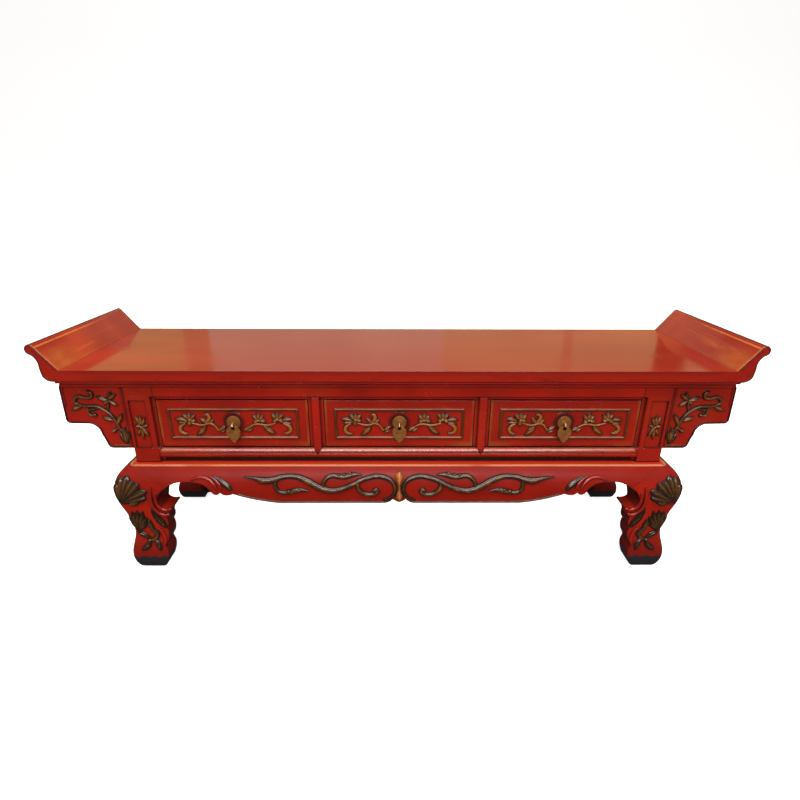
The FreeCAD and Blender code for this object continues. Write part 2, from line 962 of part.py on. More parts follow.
def leg_envelope(name):
    """A block with the leg's two bowed outer faces and its rounded corner."""
    body = doc.addObject("PartDesign::Body", name)
    far_x = stand_half - d.leg_spread * 2
    far_y = stand_front - d.leg_spread * 2
    sections = []
    for number, (level, side, front) in enumerate(leg_stations()):
        outer_x = stand_half + side
        outer_y = stand_front + front
        outline = [
            (far_x, -far_y, 0),
            (far_x, -outer_y, 0),
            (outer_x - d.corner_radius, -outer_y, d.corner_radius),
            (outer_x, -(outer_y - d.corner_radius), 0),
            (outer_x, -far_y, 0),
        ]
        sketch = new_sketch(body, "{}_section{}".format(name, number), "XY_Plane")
        sketch.setExpression("AttachmentOffset.Base.z", level.text)
        draw(sketch, outline)
        sections.append(sketch)
    loft = body.newObject("PartDesign::AdditiveLoft", name + "_loft")
    loft.Profile = sections[0]
    loft.Sections = sections[1:]
    loft.Ruled = False
    return body


# Inner edge of a leg: shares of its spread inwards from the stand's corner line
# and of the height where the mitre starts
LEG_EDGE_SHARES = [
    (0.50, 0.0, -0.25),
    (0.64, 0.06, -0.08),
    (0.73, 0.18, -0.16),
    (0.655, 0.28, -0.27),
    (0.78, 0.495, -0.25),
    (0.85, 0.61, 0.20),
    (1.07, 0.735, -0.40),
    (1.04, 0.755, 0.50),
    (0.694, 0.835, 0.26),
    (1.0, 1.0, 0.0),
]


def leg_face_outline(corner, extra):
    """The leg seen square on, open to the outside, with corner as the stand's edge."""
    outer = corner + d.knee_out_side + d.overrun
    outline = [(outer, -d.overrun, 0)]
    first = corner - d.leg_spread * LEG_EDGE_SHARES[0][0] - extra
    outline.append((first, -d.overrun, 0))
    for spread_share, height_share, bend in LEG_EDGE_SHARES:
        across = corner - d.leg_spread * spread_share - extra
        outline.append((across, mitre_height * height_share, bend))
    last = corner - d.leg_spread - extra
    outline.append((last, d.stand_height + d.overrun, 0))
    outline.append((outer, d.stand_height + d.overrun, 0))
    return outline


def reflected(outline):
    """The outline seen from the other side, still run round the same way."""
    turned = []
    count = len(outline)
    for number in range(count - 1, -1, -1):
        across, up, bend = outline[number]
        before = outline[number - 1][2]
        turned.append((-across, up, before))
    return turned


def mitre_outline(corner, extra):
    """The zone that an apron takes from a leg, below the slanting mitre."""
    lean = (corner - d.mitre_start) - (corner - d.leg_spread - extra)
    over = d.overrun
    top = corner - d.mitre_start + lean * over / d.mitre_fall
    inner = corner - d.leg_spread * 2 - extra
    return [
        (inner, mitre_height, 0),
        (corner - d.leg_spread - extra, mitre_height, 0),
        (top, d.stand_height + over, 0),
        (inner, d.stand_height + over, 0),
    ]


lip_x = stand_half - d.mitre_start
lip_y = stand_front - d.mitre_start


def front_core(name):
    """The part of the leg that stands behind the front apron's mitred lip."""
    return box(
        name,
        (stand_inner_x, -lip_y, ZERO),
        (knee_x + d.overrun, -(stand_inner_y - d.overrun), d.stand_height + d.overrun * 2),
    )


def side_core(name):
    """The part of the leg that stands behind the side apron's mitred lip."""
    return box(
        name,
        (stand_inner_x - d.overrun, -(knee_y + d.overrun), ZERO),
        (lip_x, -stand_inner_y, d.stand_height + d.overrun * 2),
    )


def make_legs():
    extra = d.leg_side_extra
    far = knee_y + d.overrun
    front_view = board(
        "leg_front_view", "XZ", leg_face_outline(stand_half, ZERO), -far, ZERO
    )
    side_view = board(
        "leg_side_view",
        "YZ",
        reflected(leg_face_outline(stand_front, extra)),
        ZERO,
        knee_x + d.overrun,
    )
    hollow = box(
        "leg_hollow",
        (ZERO, -stand_inner_y, -d.overrun),
        (stand_inner_x, ZERO, d.stand_height + d.overrun),
    )
    front_zone = cut(
        "leg_front_mitre",
        board("leg_front_zone", "XZ", mitre_outline(stand_half, ZERO), -far, -stand_inner_y),
        front_core("leg_front_core"),
    )
    side_zone = cut(
        "leg_side_mitre",
        board(
            "leg_side_zone",
            "YZ",
            reflected(mitre_outline(stand_front, extra)),
            stand_inner_x,
            knee_x + d.overrun,
        ),
        side_core("leg_side_core"),
    )
    rough = common("leg_rough", leg_envelope("leg_envelope"), front_view, side_view)
    leg = cut("leg_cut", rough, hollow, front_zone, side_zone)
    keep(leg, "leg_front_right")
    keep(mirrored("leg_two", leg, "X"), "leg_front_left")
    back = mirrored("leg_three", leg, "Y")
    keep(back, "leg_back_right")
    keep(mirrored("leg_four", back, "X"), "leg_back_left")


# Lower edge of the front apron: shares of the half length between the mitres' feet
# and of its drop, from the middle out
FRONT_EDGE_SHARES = [
    (0.0, 0.976, 0.12),
    (0.028, 0.88, 0.25),
    (0.067, 1.0, 0.0),
    (0.519, 1.0, 0.065),
    (0.713, 0.729, 0.10),
    (0.743, 0.771, 0.20),
    (0.768, 0.69, 0.60),
    (0.803, 0.69, -0.17),
    (0.845, 0.44, -0.10),
    (0.93, 0.39, -0.14),
]
# The same for the two side aprons
SIDE_EDGE_SHARES = [
    (0.0, 0.72, 0.20),
    (0.14, 0.60, -0.30),
    (0.55, 0.301, -0.22),
]


def apron_outline(shares, corner, extra):
    foot = corner - d.leg_spread - extra
    half = []
    for length_share, drop_share, bend in shares:
        half.append((foot * length_share, d.stand_height - d.apron_drop * drop_share, bend))
    half.append((foot, mitre_height, 0))
    half.append((corner - d.mitre_start, d.stand_height, 0))
    return both_halves(half)[:-1]


def apron_section(corner, bulge):
    """Cross section of an apron on the right: ledge, rounded shoulder, hollow back."""
    inner = corner - d.stand_wall
    knee = corner + bulge
    low = d.stand_height - d.apron_drop - d.overrun
    hollow = knee - d.stand_wall - d.apron_hollow / 2
    return [
        (inner, d.stand_height, 0),
        (inner, frame_bottom, 0),
        (hollow, frame_bottom - d.apron_hollow, 0),
        (hollow, low, 0),
        (knee, low, 0),
        (knee, knee_height, shoulder_radius(bulge)),
        (corner, d.stand_height, 0),
    ]


def make_aprons():
    front_shape = board(
        "apron_front_shape",
        "XZ",
        apron_outline(FRONT_EDGE_SHARES, stand_half, ZERO),
        -(knee_y + d.overrun),
        -(stand_inner_y - d.overrun),
    )
    front_bulge = board(
        "apron_front_bulge",
        "YZ",
        reflected(apron_section(stand_front, d.knee_out_front)),
        -stand_half,
        stand_half,
    )
    core = front_core("apron_front_core")
    front = cut(
        "apron_front_cut",
        common("apron_front_rough", front_shape, front_bulge),
        core,
        mirrored("apron_front_core_left", core, "X"),
    )
    keep(front, "apron_front")
    keep(mirrored("apron_back_mirrored", front, "Y"), "apron_back")

    side_shape = board(
        "apron_side_shape",
        "YZ",
        apron_outline(SIDE_EDGE_SHARES, stand_front, d.leg_side_extra),
        stand_inner_x - d.overrun,
        knee_x + d.overrun,
    )
    side_bulge = board(
        "apron_side_bulge",
        "XZ",
        apron_section(stand_half, d.knee_out_side),
        -stand_front,
        stand_front,
    )
    core = side_core("apron_side_core")
    side = cut(
        "apron_side_cut",
        common("apron_side_rough", side_shape, side_bulge),
        core,
        mirrored("apron_side_core_back", core, "Y"),
    )
    keep(side, "apron_right")
    keep(mirrored("apron_side_mirrored", side, "X"), "apron_left")


def make_stand_frame():
    long_front = box(
        "frame_long",
        (-stand_inner_x, -stand_inner_y, frame_bottom),
        (stand_inner_x, -(stand_inner_y - d.frame_width), d.stand_height),
    )
    holes = post_tenons("frame_mortise")
    mortised = cut("frame_long_cut", long_front, holes, mirrored("frame_mortise_left", holes, "X"))
    keep(
        group("frame_longs", mortised, mirrored("frame_long_back", mortised, "Y")),
        "stand_rails_long",
    )
    cross = box(
        "frame_cross",
        (stand_inner_x - d.frame_width, -(stand_inner_y - d.frame_width), frame_bottom),
        (stand_inner_x, stand_inner_y - d.frame_width, d.stand_height),
    )
    keep(
        group("frame_crosses", cross, mirrored("frame_cross_left", cross, "X")),
        "stand_rails_cross",
    )
    block = box(
        "block_front_right",
        (stand_inner_x - d.block_size, -stand_inner_y, frame_bottom - d.block_high),
        (stand_inner_x, -(stand_inner_y - d.block_size), frame_bottom),
    )
    back = mirrored("block_back_right", block, "Y")
    blocks = group(
        "blocks",
        block,
        back,
        mirrored("block_front_left", block, "X"),
        mirrored("block_back_left", back, "X"),
    )
    keep(blocks, "corner_blocks")


def check_and_write():
    """Stop on any failed object, then write one file for each sub-part."""
    doc.recompute()
    for item in doc.Objects:
        if "Invalid" in item.State or "Error" in item.State:
            raise RuntimeError("{} failed: {}".format(item.Label, item.State))
    for piece in pieces:
        if piece.Shape.isNull() or not piece.Shape.isValid():
            raise RuntimeError("{} has no valid shape".format(piece.Label))
    os.makedirs("parts", exist_ok=True)
    for piece in pieces:
        piece.Shape.exportStep("parts/{}.step".format(piece.Label))


make_top()
make_flanges()
make_moulding()
make_posts()
make_upper_rails()
make_lower_rails()
make_muntins()
make_side_rails()
make_panels()
make_partitions()
make_spandrels()
make_runners()
for drawer_name, drawer_centre in DRAWERS:
    make_drawer_front(drawer_name, drawer_centre)
    make_drawer_box(drawer_name, drawer_centre)
    make_pull(drawer_name, drawer_centre)
make_legs()
make_aprons()
make_stand_frame()
check_and_write()
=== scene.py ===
import bmesh
import bpy
import json
import math
from mathutils import Matrix, Vector
from mathutils.bvhtree import BVHTree


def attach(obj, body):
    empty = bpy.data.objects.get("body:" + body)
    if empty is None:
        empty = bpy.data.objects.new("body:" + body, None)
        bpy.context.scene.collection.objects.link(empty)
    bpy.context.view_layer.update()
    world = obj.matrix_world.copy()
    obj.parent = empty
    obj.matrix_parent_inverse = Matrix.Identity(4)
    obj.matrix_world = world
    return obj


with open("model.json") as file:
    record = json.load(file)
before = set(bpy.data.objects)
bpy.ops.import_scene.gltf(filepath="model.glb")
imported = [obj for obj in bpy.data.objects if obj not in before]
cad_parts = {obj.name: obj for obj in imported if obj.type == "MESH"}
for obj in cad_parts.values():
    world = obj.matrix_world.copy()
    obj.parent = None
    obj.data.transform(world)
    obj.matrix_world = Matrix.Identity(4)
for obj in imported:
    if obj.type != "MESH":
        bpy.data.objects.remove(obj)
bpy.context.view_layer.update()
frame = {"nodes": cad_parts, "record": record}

# Looks of a low altar table in worn red lacquer, with gilt and olive carving.
# Lengths are in metres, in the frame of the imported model: the front faces -Y.
# The carving's points are in millimetres in that frame.

MM = 0.001
DRAWER_PITCH = 354.33
nodes = frame["nodes"]


# Camera and studio

CAMERA_PLACE = (-0.0083, -1.1730, 0.8021)
CAMERA_PITCH = 0.3726
CAMERA_YAW = 0.0092
CAMERA_ROLL = -0.0044
CAMERA_LENS = 23.36
SENSOR_WIDTH = 36.0
SEEN_FROM = 0.05
SEEN_TO = 60.0


def make_camera():
    camera = bpy.data.objects.new("camera", bpy.data.cameras.new("camera"))
    camera.data.lens = CAMERA_LENS
    camera.data.sensor_width = SENSOR_WIDTH
    camera.data.clip_start = SEEN_FROM
    camera.data.clip_end = SEEN_TO
    turn = Matrix.Rotation(-CAMERA_YAW, 4, "Z")
    tilt = Matrix.Rotation(math.pi / 2 - CAMERA_PITCH, 4, "X")
    roll = Matrix.Rotation(-CAMERA_ROLL, 4, "Z")
    camera.matrix_world = Matrix.Translation(CAMERA_PLACE) @ turn @ tilt @ roll
    bpy.context.scene.collection.objects.link(camera)
    bpy.context.scene.camera = camera


TABLE_MIDDLE = (0.0, 0.0, 0.3)

# Name, place, aim, width and height, watts, and whether glossy faces mirror the light
LIGHTS = (
    ("light_above", (0.0, -0.60, 2.2), (0.0, -0.60, 0.0), (2.8, 2.0), 96.0, True),
    ("light_front", (0.0, -3.4, 1.9), TABLE_MIDDLE, (3.2, 0.6), 120.0, True),
    ("light_behind", (0.0, 3.0, 1.5), TABLE_MIDDLE, (3.0, 1.0), 45.0, False),
    ("light_left", (-3.2, 0.0, 1.3), TABLE_MIDDLE, (1.5, 1.0), 20.0, False),
    ("light_right", (3.2, 0.0, 1.3), TABLE_MIDDLE, (1.5, 1.0), 20.0, False),
)


def make_lights():
    for name, place, aim, (wide, high), power, mirrored in LIGHTS:
        light = bpy.data.lights.new(name, "AREA")
        light.shape = "RECTANGLE"
        light.size = wide
        light.size_y = high
        light.energy = power
        lamp = bpy.data.objects.new(name, light)
        lamp.location = place
        lamp.rotation_euler = (Vector(aim) - Vector(place)).to_track_quat("-Z", "Y").to_euler()
        lamp.visible_camera = False
        lamp.visible_glossy = mirrored
        bpy.context.scene.collection.objects.link(lamp)


WORLD_TOP = (0.24, 0.22, 0.19, 1.0)
WORLD_LOW = (0.08, 0.08, 0.08, 1.0)
HORIZON_LOW = -0.15
HORIZON_HIGH = 0.25


def make_world():
    """Soft even light from above the horizon, dimmer from below."""
    world = bpy.data.worlds.new("studio")
    bpy.context.scene.world = world
    world.use_nodes = True
    tree = world.node_tree
    direction = tree.nodes.new("ShaderNodeTexCoord")
    parts = tree.nodes.new("ShaderNodeSeparateXYZ")
    ramp = tree.nodes.new("ShaderNodeMapRange")
    ramp.inputs["From Min"].default_value = HORIZON_LOW
    ramp.inputs["From Max"].default_value = HORIZON_HIGH
    tint = tree.nodes.new("ShaderNodeMix")
    tint.data_type = "RGBA"
    tint.inputs[6].default_value = WORLD_LOW
    tint.inputs[7].default_value = WORLD_TOP
    tree.links.new(direction.outputs["Generated"], parts.inputs[0])
    tree.links.new(parts.outputs[2], ramp.inputs["Value"])
    tree.links.new(ramp.outputs[0], tint.inputs["Factor"])
    tree.links.new(tint.outputs[2], tree.nodes["Background"].inputs["Color"])


def make_mesh_object(name, points, faces, smooth=True):
    mesh = bpy.data.meshes.new(name)
    mesh.from_pydata(points, [], faces)
    mesh.update()
    for polygon in mesh.polygons:
        polygon.use_smooth = smooth
    made = bpy.data.objects.new(name, mesh)
    bpy.context.scene.collection.objects.link(made)
    return made


STUDIO_HALF = 7.0
STUDIO_FRONT = -5.0
STUDIO_BACK = 3.4
STUDIO_BEND = 1.2
STUDIO_HIGH = 5.0
BEND_STEPS = 16
FLOOR_GLOW = 0.72


def make_floor():
    """A pale floor that bends up into a wall far behind the table."""
    profile = [(STUDIO_FRONT, 0.0)]
    for step in range(BEND_STEPS + 1):
        angle = math.pi / 2 * step / BEND_STEPS
        along = STUDIO_BACK + STUDIO_BEND * math.sin(angle)
        profile.append((along, STUDIO_BEND * (1 - math.cos(angle))))
    profile.append((STUDIO_BACK + STUDIO_BEND, STUDIO_HIGH))
    points = []
    for along, up in profile:
        points += [(-STUDIO_HALF, along, up), (STUDIO_HALF, along, up)]
    last = len(points) - 2
    faces = [(first, first + 1, first + 3, first + 2) for first in range(0, last, 2)]
    floor = make_mesh_object("studio_floor", points, faces)
    floor.data.materials.append(floor_material("pale_floor", FLOOR_GLOW))
    floor.visible_glossy = False
    floor.visible_diffuse = False


WALL_RADIUS = 15.0
WALL_LOW = -0.02
WALL_HIGH = 14.0
WALL_STEPS = 64
WALL_GLOW = 0.95


def make_wall():
    """A pale round wall that lights nothing, behind the table in views from the other sides."""
    points = []
    for step in range(WALL_STEPS):
        angle = 2 * math.pi * step / WALL_STEPS
        for up in (WALL_LOW, WALL_HIGH):
            points.append((WALL_RADIUS * math.cos(angle), WALL_RADIUS * math.sin(angle), up))
    faces = [tuple(range(0, 2 * WALL_STEPS, 2))]
    for step in range(WALL_STEPS):
        after = (step + 1) % WALL_STEPS
        faces.append((2 * step, 2 * after, 2 * after + 1, 2 * step + 1))
    wall = make_mesh_object("studio_wall", points, faces, smooth=False)
    wall.data.materials.append(floor_material("pale_wall", WALL_GLOW))
    wall.visible_glossy = False
    wall.visible_diffuse = False
    wall.visible_shadow = False


CARD_BACK = 3.0
CARD_LOW = 0.55
CARD_HIGH = 2.3

# Name, left end, right end and glow
CARDS = (
    ("card_left", -3.4, -1.75, (0.52, 0.48, 0.20)),
    ("card_left_gap", -1.75, -1.54, (0.48, 0.31, 0.15)),
    ("card_middle", -1.54, 0.38, (0.53, 0.55, 0.38)),
    ("card_right", 0.38, 1.38, (0.53, 0.48, 0.22)),
    ("card_right_gap", 1.38, 1.46, (0.48, 0.32, 0.15)),
    ("card_far_right", 1.46, 2.16, (0.52, 0.46, 0.22)),
    ("card_outer_gap", 2.16, 2.43, (0.16, 0.05, 0.02)),
    ("card_outer", 2.43, 3.4, (0.52, 0.46, 0.24)),
)


def make_cards():
    """Warm cards behind the table that only its glossy faces mirror."""
    for name, left, right, glow in CARDS:
        corners = ((left, CARD_LOW), (right, CARD_LOW), (right, CARD_HIGH), (left, CARD_HIGH))
        points = [(across, CARD_BACK, up) for across, up in corners]
        card = make_mesh_object(name, points, [(0, 1, 2, 3)], smooth=False)
        card.data.materials.append(card_material(name, glow))
        card.visible_camera = False
        card.visible_diffuse = False
        card.visible_shadow = False


def make_studio():
    make_world()
    bpy.context.scene.view_settings.view_transform = "Standard"
    make_lights()
    make_floor()
    make_wall()
    make_cards()


# Material helpers

class Shade:
    """A node material that is built up step by step."""

    def __init__(self, name):
        self.material = bpy.data.materials.new(name)
        self.material.use_nodes = True
        self.tree = self.material.node_tree
        self.shader = self.tree.nodes["Principled BSDF"]
        self.coordinates = self.add("ShaderNodeTexCoord")
        self.place = self.coordinates.outputs["Object"]

    def add(self, kind, **settings):
        node = self.tree.nodes.new(kind)
        for key, value in settings.items():
            setattr(node, key, value)
        return node

    def feed(self, socket, value):
        """Link an output to a socket, or set the socket to a plain value."""
        if isinstance(value, bpy.types.NodeSocket):
            self.tree.links.new(value, socket)
        elif isinstance(value, tuple) and len(value) == 3 and len(socket.default_value) == 4:
            socket.default_value = (*value, 1.0)
        else:
            socket.default_value = value

    def set(self, socket_name, value):
        self.feed(self.shader.inputs[socket_name], value)

    def math(self, operation, first, second=None):
        node = self.add("ShaderNodeMath", operation=operation)
        self.feed(node.inputs[0], first)
        if second is not None:
            self.feed(node.inputs[1], second)
        return node.outputs[0]

    def plus(self, first, second):
        return self.math("ADD", first, second)

    def minus(self, first, second):
        return self.math("SUBTRACT", first, second)

    def times(self, first, second):
        return self.math("MULTIPLY", first, second)

    def larger(self, first, second):
        return self.math("MAXIMUM", first, second)

    def far(self, across, up):
        """Distance from a point, out of the distances along two axes."""
        return self.math("SQRT", self.plus(self.math("POWER", across, 2.0), self.math("POWER", up, 2.0)))

    def mix(self, share, first, second):
        node = self.add("ShaderNodeMix", data_type="RGBA")
        self.feed(node.inputs["Factor"], share)
        self.feed(node.inputs[6], first)
        self.feed(node.inputs[7], second)
        return node.outputs[2]

    def span(self, value, low, high, least=0.0, most=1.0):
        """Map low..high smoothly to least..most. The first of a pair may be the larger one."""
        node = self.add("ShaderNodeMapRange", interpolation_type="SMOOTHSTEP")
        self.feed(node.inputs["Value"], value)
        node.inputs["From Min"].default_value = low
        node.inputs["From Max"].default_value = high
        node.inputs["To Min"].default_value = least
        node.inputs["To Max"].default_value = most
        return node.outputs[0]

    def noise(self, scale, detail=4.0, stretch=(1.0, 1.0, 1.0), roughness=0.55, shift=0.0):
        move = self.add("ShaderNodeMapping")
        self.feed(move.inputs["Vector"], self.place)
        move.inputs["Scale"].default_value = stretch
        move.inputs["Location"].default_value = (shift, shift, shift)
        node = self.add("ShaderNodeTexNoise")
        self.feed(node.inputs["Vector"], move.outputs[0])
        node.inputs["Scale"].default_value = scale
        node.inputs["Detail"].default_value = detail
        node.inputs["Roughness"].default_value = roughness
        return node.outputs[0]

    def patches(self, scale, low, high, least=0.0, most=1.0, **looks):
        """Noise whose values low..high are mapped smoothly to least..most."""
        return self.span(self.noise(scale, **looks), low, high, least, most)

    def axis(self, letter):
        node = self.add("ShaderNodeSeparateXYZ")
        self.feed(node.inputs[0], self.place)
        return node.outputs["XYZ".index(letter)]

    def away(self, letter):
        """Distance along an axis to either side of the table's middle."""
        return self.math("ABSOLUTE", self.axis(letter))

    def facing(self, letter):
        """How far the surface faces along an axis, from -1 to 1."""
        node = self.add("ShaderNodeSeparateXYZ")
        self.feed(node.inputs[0], self.coordinates.outputs["Normal"])
        return node.outputs["XYZ".index(letter)]

    def crevice(self, distance, low, high):
        """1 in corners and beside raised forms, 0 on open faces."""
        node = self.add("ShaderNodeAmbientOcclusion", samples=8)
        node.inputs["Distance"].default_value = distance
        return self.span(node.outputs["AO"], low, high, 1.0, 0.0)

    def edge(self, radius, low, high):
        """1 along arrises, 0 on flat faces."""
        bevel = self.add("ShaderNodeBevel", samples=4)
        bevel.inputs["Radius"].default_value = radius
        flat = self.add("ShaderNodeNewGeometry")
        dot = self.add("ShaderNodeVectorMath", operation="DOT_PRODUCT")
        self.feed(dot.inputs[0], bevel.outputs[0])
        self.feed(dot.inputs[1], flat.outputs["Normal"])
        return self.span(dot.outputs["Value"], low, high, 1.0, 0.0)

    def bump(self, height, strength, deep):
        node = self.add("ShaderNodeBump")
        self.feed(node.inputs["Height"], height)
        node.inputs["Strength"].default_value = strength
        node.inputs["Distance"].default_value = deep
        self.set("Normal", node.outputs[0])


FLOOR_DIM = (0.90, 0.90, 0.90)
FLOOR_PALE = (0.94, 0.94, 0.94)
WHITE = (1.0, 1.0, 1.0)
CARD_DIM_SHARE = 0.82


def floor_material(name, glow):
    shade = Shade(name)
    shade.set("Base Color", shade.mix(shade.noise(0.8), FLOOR_DIM, FLOOR_PALE))
    shade.set("Roughness", 0.9)
    shade.set("Specular IOR Level", 0.0)
    shade.set("Emission Color", WHITE)
    shade.set("Emission Strength", glow)
    return shade.material


def card_material(name, colour):
    shade = Shade(name)
    soft = shade.patches(0.9, 0.3, 0.7, detail=2.0)
    glow = shade.mix(soft, colour, tuple(CARD_DIM_SHARE * part for part in colour))
    shade.set("Base Color", (0.0, 0.0, 0.0))
    shade.set("Emission Color", glow)
    shade.set("Emission Strength", 1.0)
    return shade.material


# Red lacquer. Pairs of places say where a look begins and where it is full, in metres.

RED = (0.290, 0.0105, 0.0040)
RED_DEEP = (0.150, 0.0060, 0.0030)
RED_ORANGE = (0.320, 0.0280, 0.0060)
# A lighter copy of the red: painted light on the upper rail, muntins and cove moulding, which lie in
# shade.
LIT_RED = (0.350, 0.0115, 0.0042)
# Dark glaze colours, also used for painted shade in corners and under overhangs.
BLACK_GLAZE_AND_SHADE = (0.018, 0.004, 0.003)
DARK_GLAZE_AND_SHADE = (0.034, 0.006, 0.004)
TAN = (0.25, 0.070, 0.014)
EVEN = (1.0, 1.0, 1.0)
# How far corner darkening reaches: the longest is painted shade, the next two dark glaze with painted
# shade, the last dark glaze in carving and brass hollows.
SHADE_REACH = 0.040
GLAZE_AND_SHADE_REACH = 0.007
LEDGE_GLAZE_AND_SHADE_REACH = 0.006
FINE_REACH = 0.004


def lacquer_colour(shade, base=RED, deep=RED_DEEP, grain=EVEN, soft=0.0035, strong=0.85):
    """Red lacquer with soft patches, fine streaks, painted shade and dark glaze in corners, and dark
    glaze along arrises.
    """
    colour = shade.mix(shade.patches(7.0, 0.30, 0.66, detail=5.0, stretch=grain), deep, base)
    warm = shade.patches(5.0, 0.50, 0.78, stretch=grain, shift=3.0)
    colour = shade.mix(warm, colour, RED_ORANGE)
    colour = shade.mix(0.45, colour, base)
    brushed = (grain[0] * 0.35, 1.0, 3.0)
    fine = shade.patches(34.0, 0.56, 0.82, 0.0, 0.55, detail=6.0, stretch=brushed, roughness=0.7)
    colour = shade.mix(fine, colour, deep)
    specks = shade.patches(150.0, 0.72, 0.80, 0.0, 0.3, detail=2.0, shift=9.0)
    colour = shade.mix(specks, colour, BLACK_GLAZE_AND_SHADE)
    # Painted shade: darker in corners and under overhanging parts.
    colour = shade.mix(shade.times(shade.crevice(SHADE_REACH, 0.30, 0.90), 0.40), colour, DARK_GLAZE_AND_SHADE)
    # Dark glaze in joints, and painted shade in tight corners.
    colour = shade.mix(shade.times(shade.crevice(GLAZE_AND_SHADE_REACH, 0.45, 0.92), 0.9), colour, BLACK_GLAZE_AND_SHADE)
    rubbed = shade.patches(25.0, 0.25, 0.55, 0.35, 1.0, shift=7.0)
    wear = shade.times(shade.edge(soft, 0.90, 0.998), rubbed)
    return shade.mix(shade.times(wear, strong), colour, DARK_GLAZE_AND_SHADE)


def lacquer_finish(shade, smooth=0.15, dull=0.32, level=0.42, uneven=0.06):
    """Gloss that is patchy between smooth and dull, over a slightly uneven ground."""
    shade.set("Roughness", shade.patches(18.0, 0.3, 0.8, smooth, dull, detail=5.0, shift=1.0))
    shade.set("Specular IOR Level", level)
    shade.bump(shade.noise(50.0, detail=3.0, stretch=(0.3, 0.3, 1.0)), strength=uneven, deep=0.0008)


def lacquer_material(name, base=RED):
    shade = Shade(name)
    shade.set("Base Color", lacquer_colour(shade, base))
    lacquer_finish(shade)
    return shade.material


# Painted shadow of the top's overhang on the brackets, just below the moulding.
OVERHANG_SHADOW_BROWN = (0.045, 0.012, 0.005)
OVERHANG_SHADOW_RISE = (0.4330, 0.4360)
OVERHANG_SHADOW_FALL = (0.4416, 0.4408)


def bracket_material():
    """Lacquer with a broad dark glaze along its outline, and a brown strip of painted shadow from the
    top's overhang below the moulding.
    """
    shade = Shade("bracket_lacquer")
    colour = lacquer_colour(shade, soft=0.0085, strong=1.0)
    overhang_shadow = shade.times(shade.span(shade.axis("Z"), *OVERHANG_SHADOW_RISE), shade.span(shade.axis("Z"), *OVERHANG_SHADOW_FALL))
    shade.set("Base Color", shade.mix(shade.times(overhang_shadow, 0.72), colour, OVERHANG_SHADOW_BROWN))
    lacquer_finish(shade)
    return shade.material


# Pale colour of the painted highlight along the stand's ledge.
ARRIS_HIGHLIGHT = (0.44, 0.16, 0.08)
# Brighter red for the ledge's top face, painted light.
LIT_LEDGE_RED = (0.46, 0.030, 0.008)
# The stand's one red lacquer as a lighter copy for the legs, painted sheen, and a darker copy for the
# apron, painted shade.
LEG_LIT_RED = (0.370, 0.0150, 0.0055)
APRON_SHADED_RED = (0.235, 0.0095, 0.0042)
STAND_UPPER_SHADE = (0.190, 0.242)
LINE_FORWARD = (0.1678, 0.1686)
LINE_OUTWARD = (0.5808, 0.5816)
LINE_RISE = (0.2553, 0.2567)
LEDGE_RISE = (0.2575, 0.2582)


def stand_shade(name, base, upper_shade):
    """Dull lacquer for the stand, darker high up as painted shade, with a pale painted highlight along
    its ledge's arris.
    """
    shade = Shade(name)
    lacquer_finish(shade, smooth=0.30, dull=0.46, level=0.10, uneven=0.08)
    colour = lacquer_colour(shade, base, soft=0.006, strong=0.4)
    # Painted shade: the upper part of the stand is darker.
    upper = shade.span(shade.axis("Z"), *STAND_UPPER_SHADE, 0.0, upper_shade)
    colour = shade.mix(upper, colour, RED_DEEP)
    # Painted highlight: a pale patchy line along the front and side arris of the ledge.
    forward = shade.span(shade.away("Y"), *LINE_FORWARD)
    outward = shade.span(shade.away("X"), *LINE_OUTWARD)
    rubbed = shade.patches(14.0, 0.30, 0.50, 0.25, 0.9, stretch=(0.4, 1.0, 1.0), shift=4.0)
    arris = shade.times(shade.larger(forward, outward), shade.span(shade.axis("Z"), *LINE_RISE))
    line = shade.times(arris, rubbed)
    # Painted light: the ledge's top face is painted brighter red.
    ledge = shade.span(shade.axis("Z"), *LEDGE_RISE)
    colour = shade.mix(shade.times(ledge, 0.8), colour, LIT_LEDGE_RED)
    # Dark glaze and painted shade in the stand's tight corners.
    colour = shade.mix(shade.times(shade.crevice(LEDGE_GLAZE_AND_SHADE_REACH, 0.30, 0.75), 0.95), colour, BLACK_GLAZE_AND_SHADE)
    return shade, shade.mix(line, colour, ARRIS_HIGHLIGHT)


def stand_material():
    shade, colour = stand_shade("stand_lacquer", APRON_SHADED_RED, upper_shade=0.50)
    shade.set("Base Color", colour)
    return shade.material


FOOT_BLACK = (0.022, 0.018, 0.019)
MAROON = (0.050, 0.006, 0.005)
FOOT_FALL = (0.0315, 0.0285)
LEG_DARK_FALL = (0.130, 0.030)
FOOT_WAVES = 260.0
WAVE_HIGH = 0.0015
RAGGED_HIGH = 0.010


def leg_material():
    """Red lacquer that ends in a black painted foot with a wavy upper line, with painted shade on the
    inner sides and darker towards the bottom.
    """
    shade, colour = stand_shade("leg_lacquer", LEG_LIT_RED, upper_shade=0.80)
    wave = shade.times(shade.math("SINE", shade.times(shade.axis("X"), FOOT_WAVES)), WAVE_HIGH)
    ragged = shade.times(shade.minus(shade.noise(70.0), 0.5), RAGGED_HIGH)
    line = shade.plus(shade.plus(shade.axis("Z"), wave), ragged)
    foot = shade.span(line, *FOOT_FALL)
    # Painted shade: the inner sides of the legs are darker.
    outward = shade.times(shade.facing("X"), shade.math("SIGN", shade.axis("X")))
    inner = shade.span(outward, -0.75, -0.35, 0.72, 0.0)
    # Darker towards the bottom of the leg.
    low = shade.span(shade.axis("Z"), *LEG_DARK_FALL, 0.0, 0.62)
    colour = shade.mix(shade.larger(inner, low), colour, MAROON)
    shade.set("Base Color", shade.mix(foot, colour, FOOT_BLACK))
    return shade.material


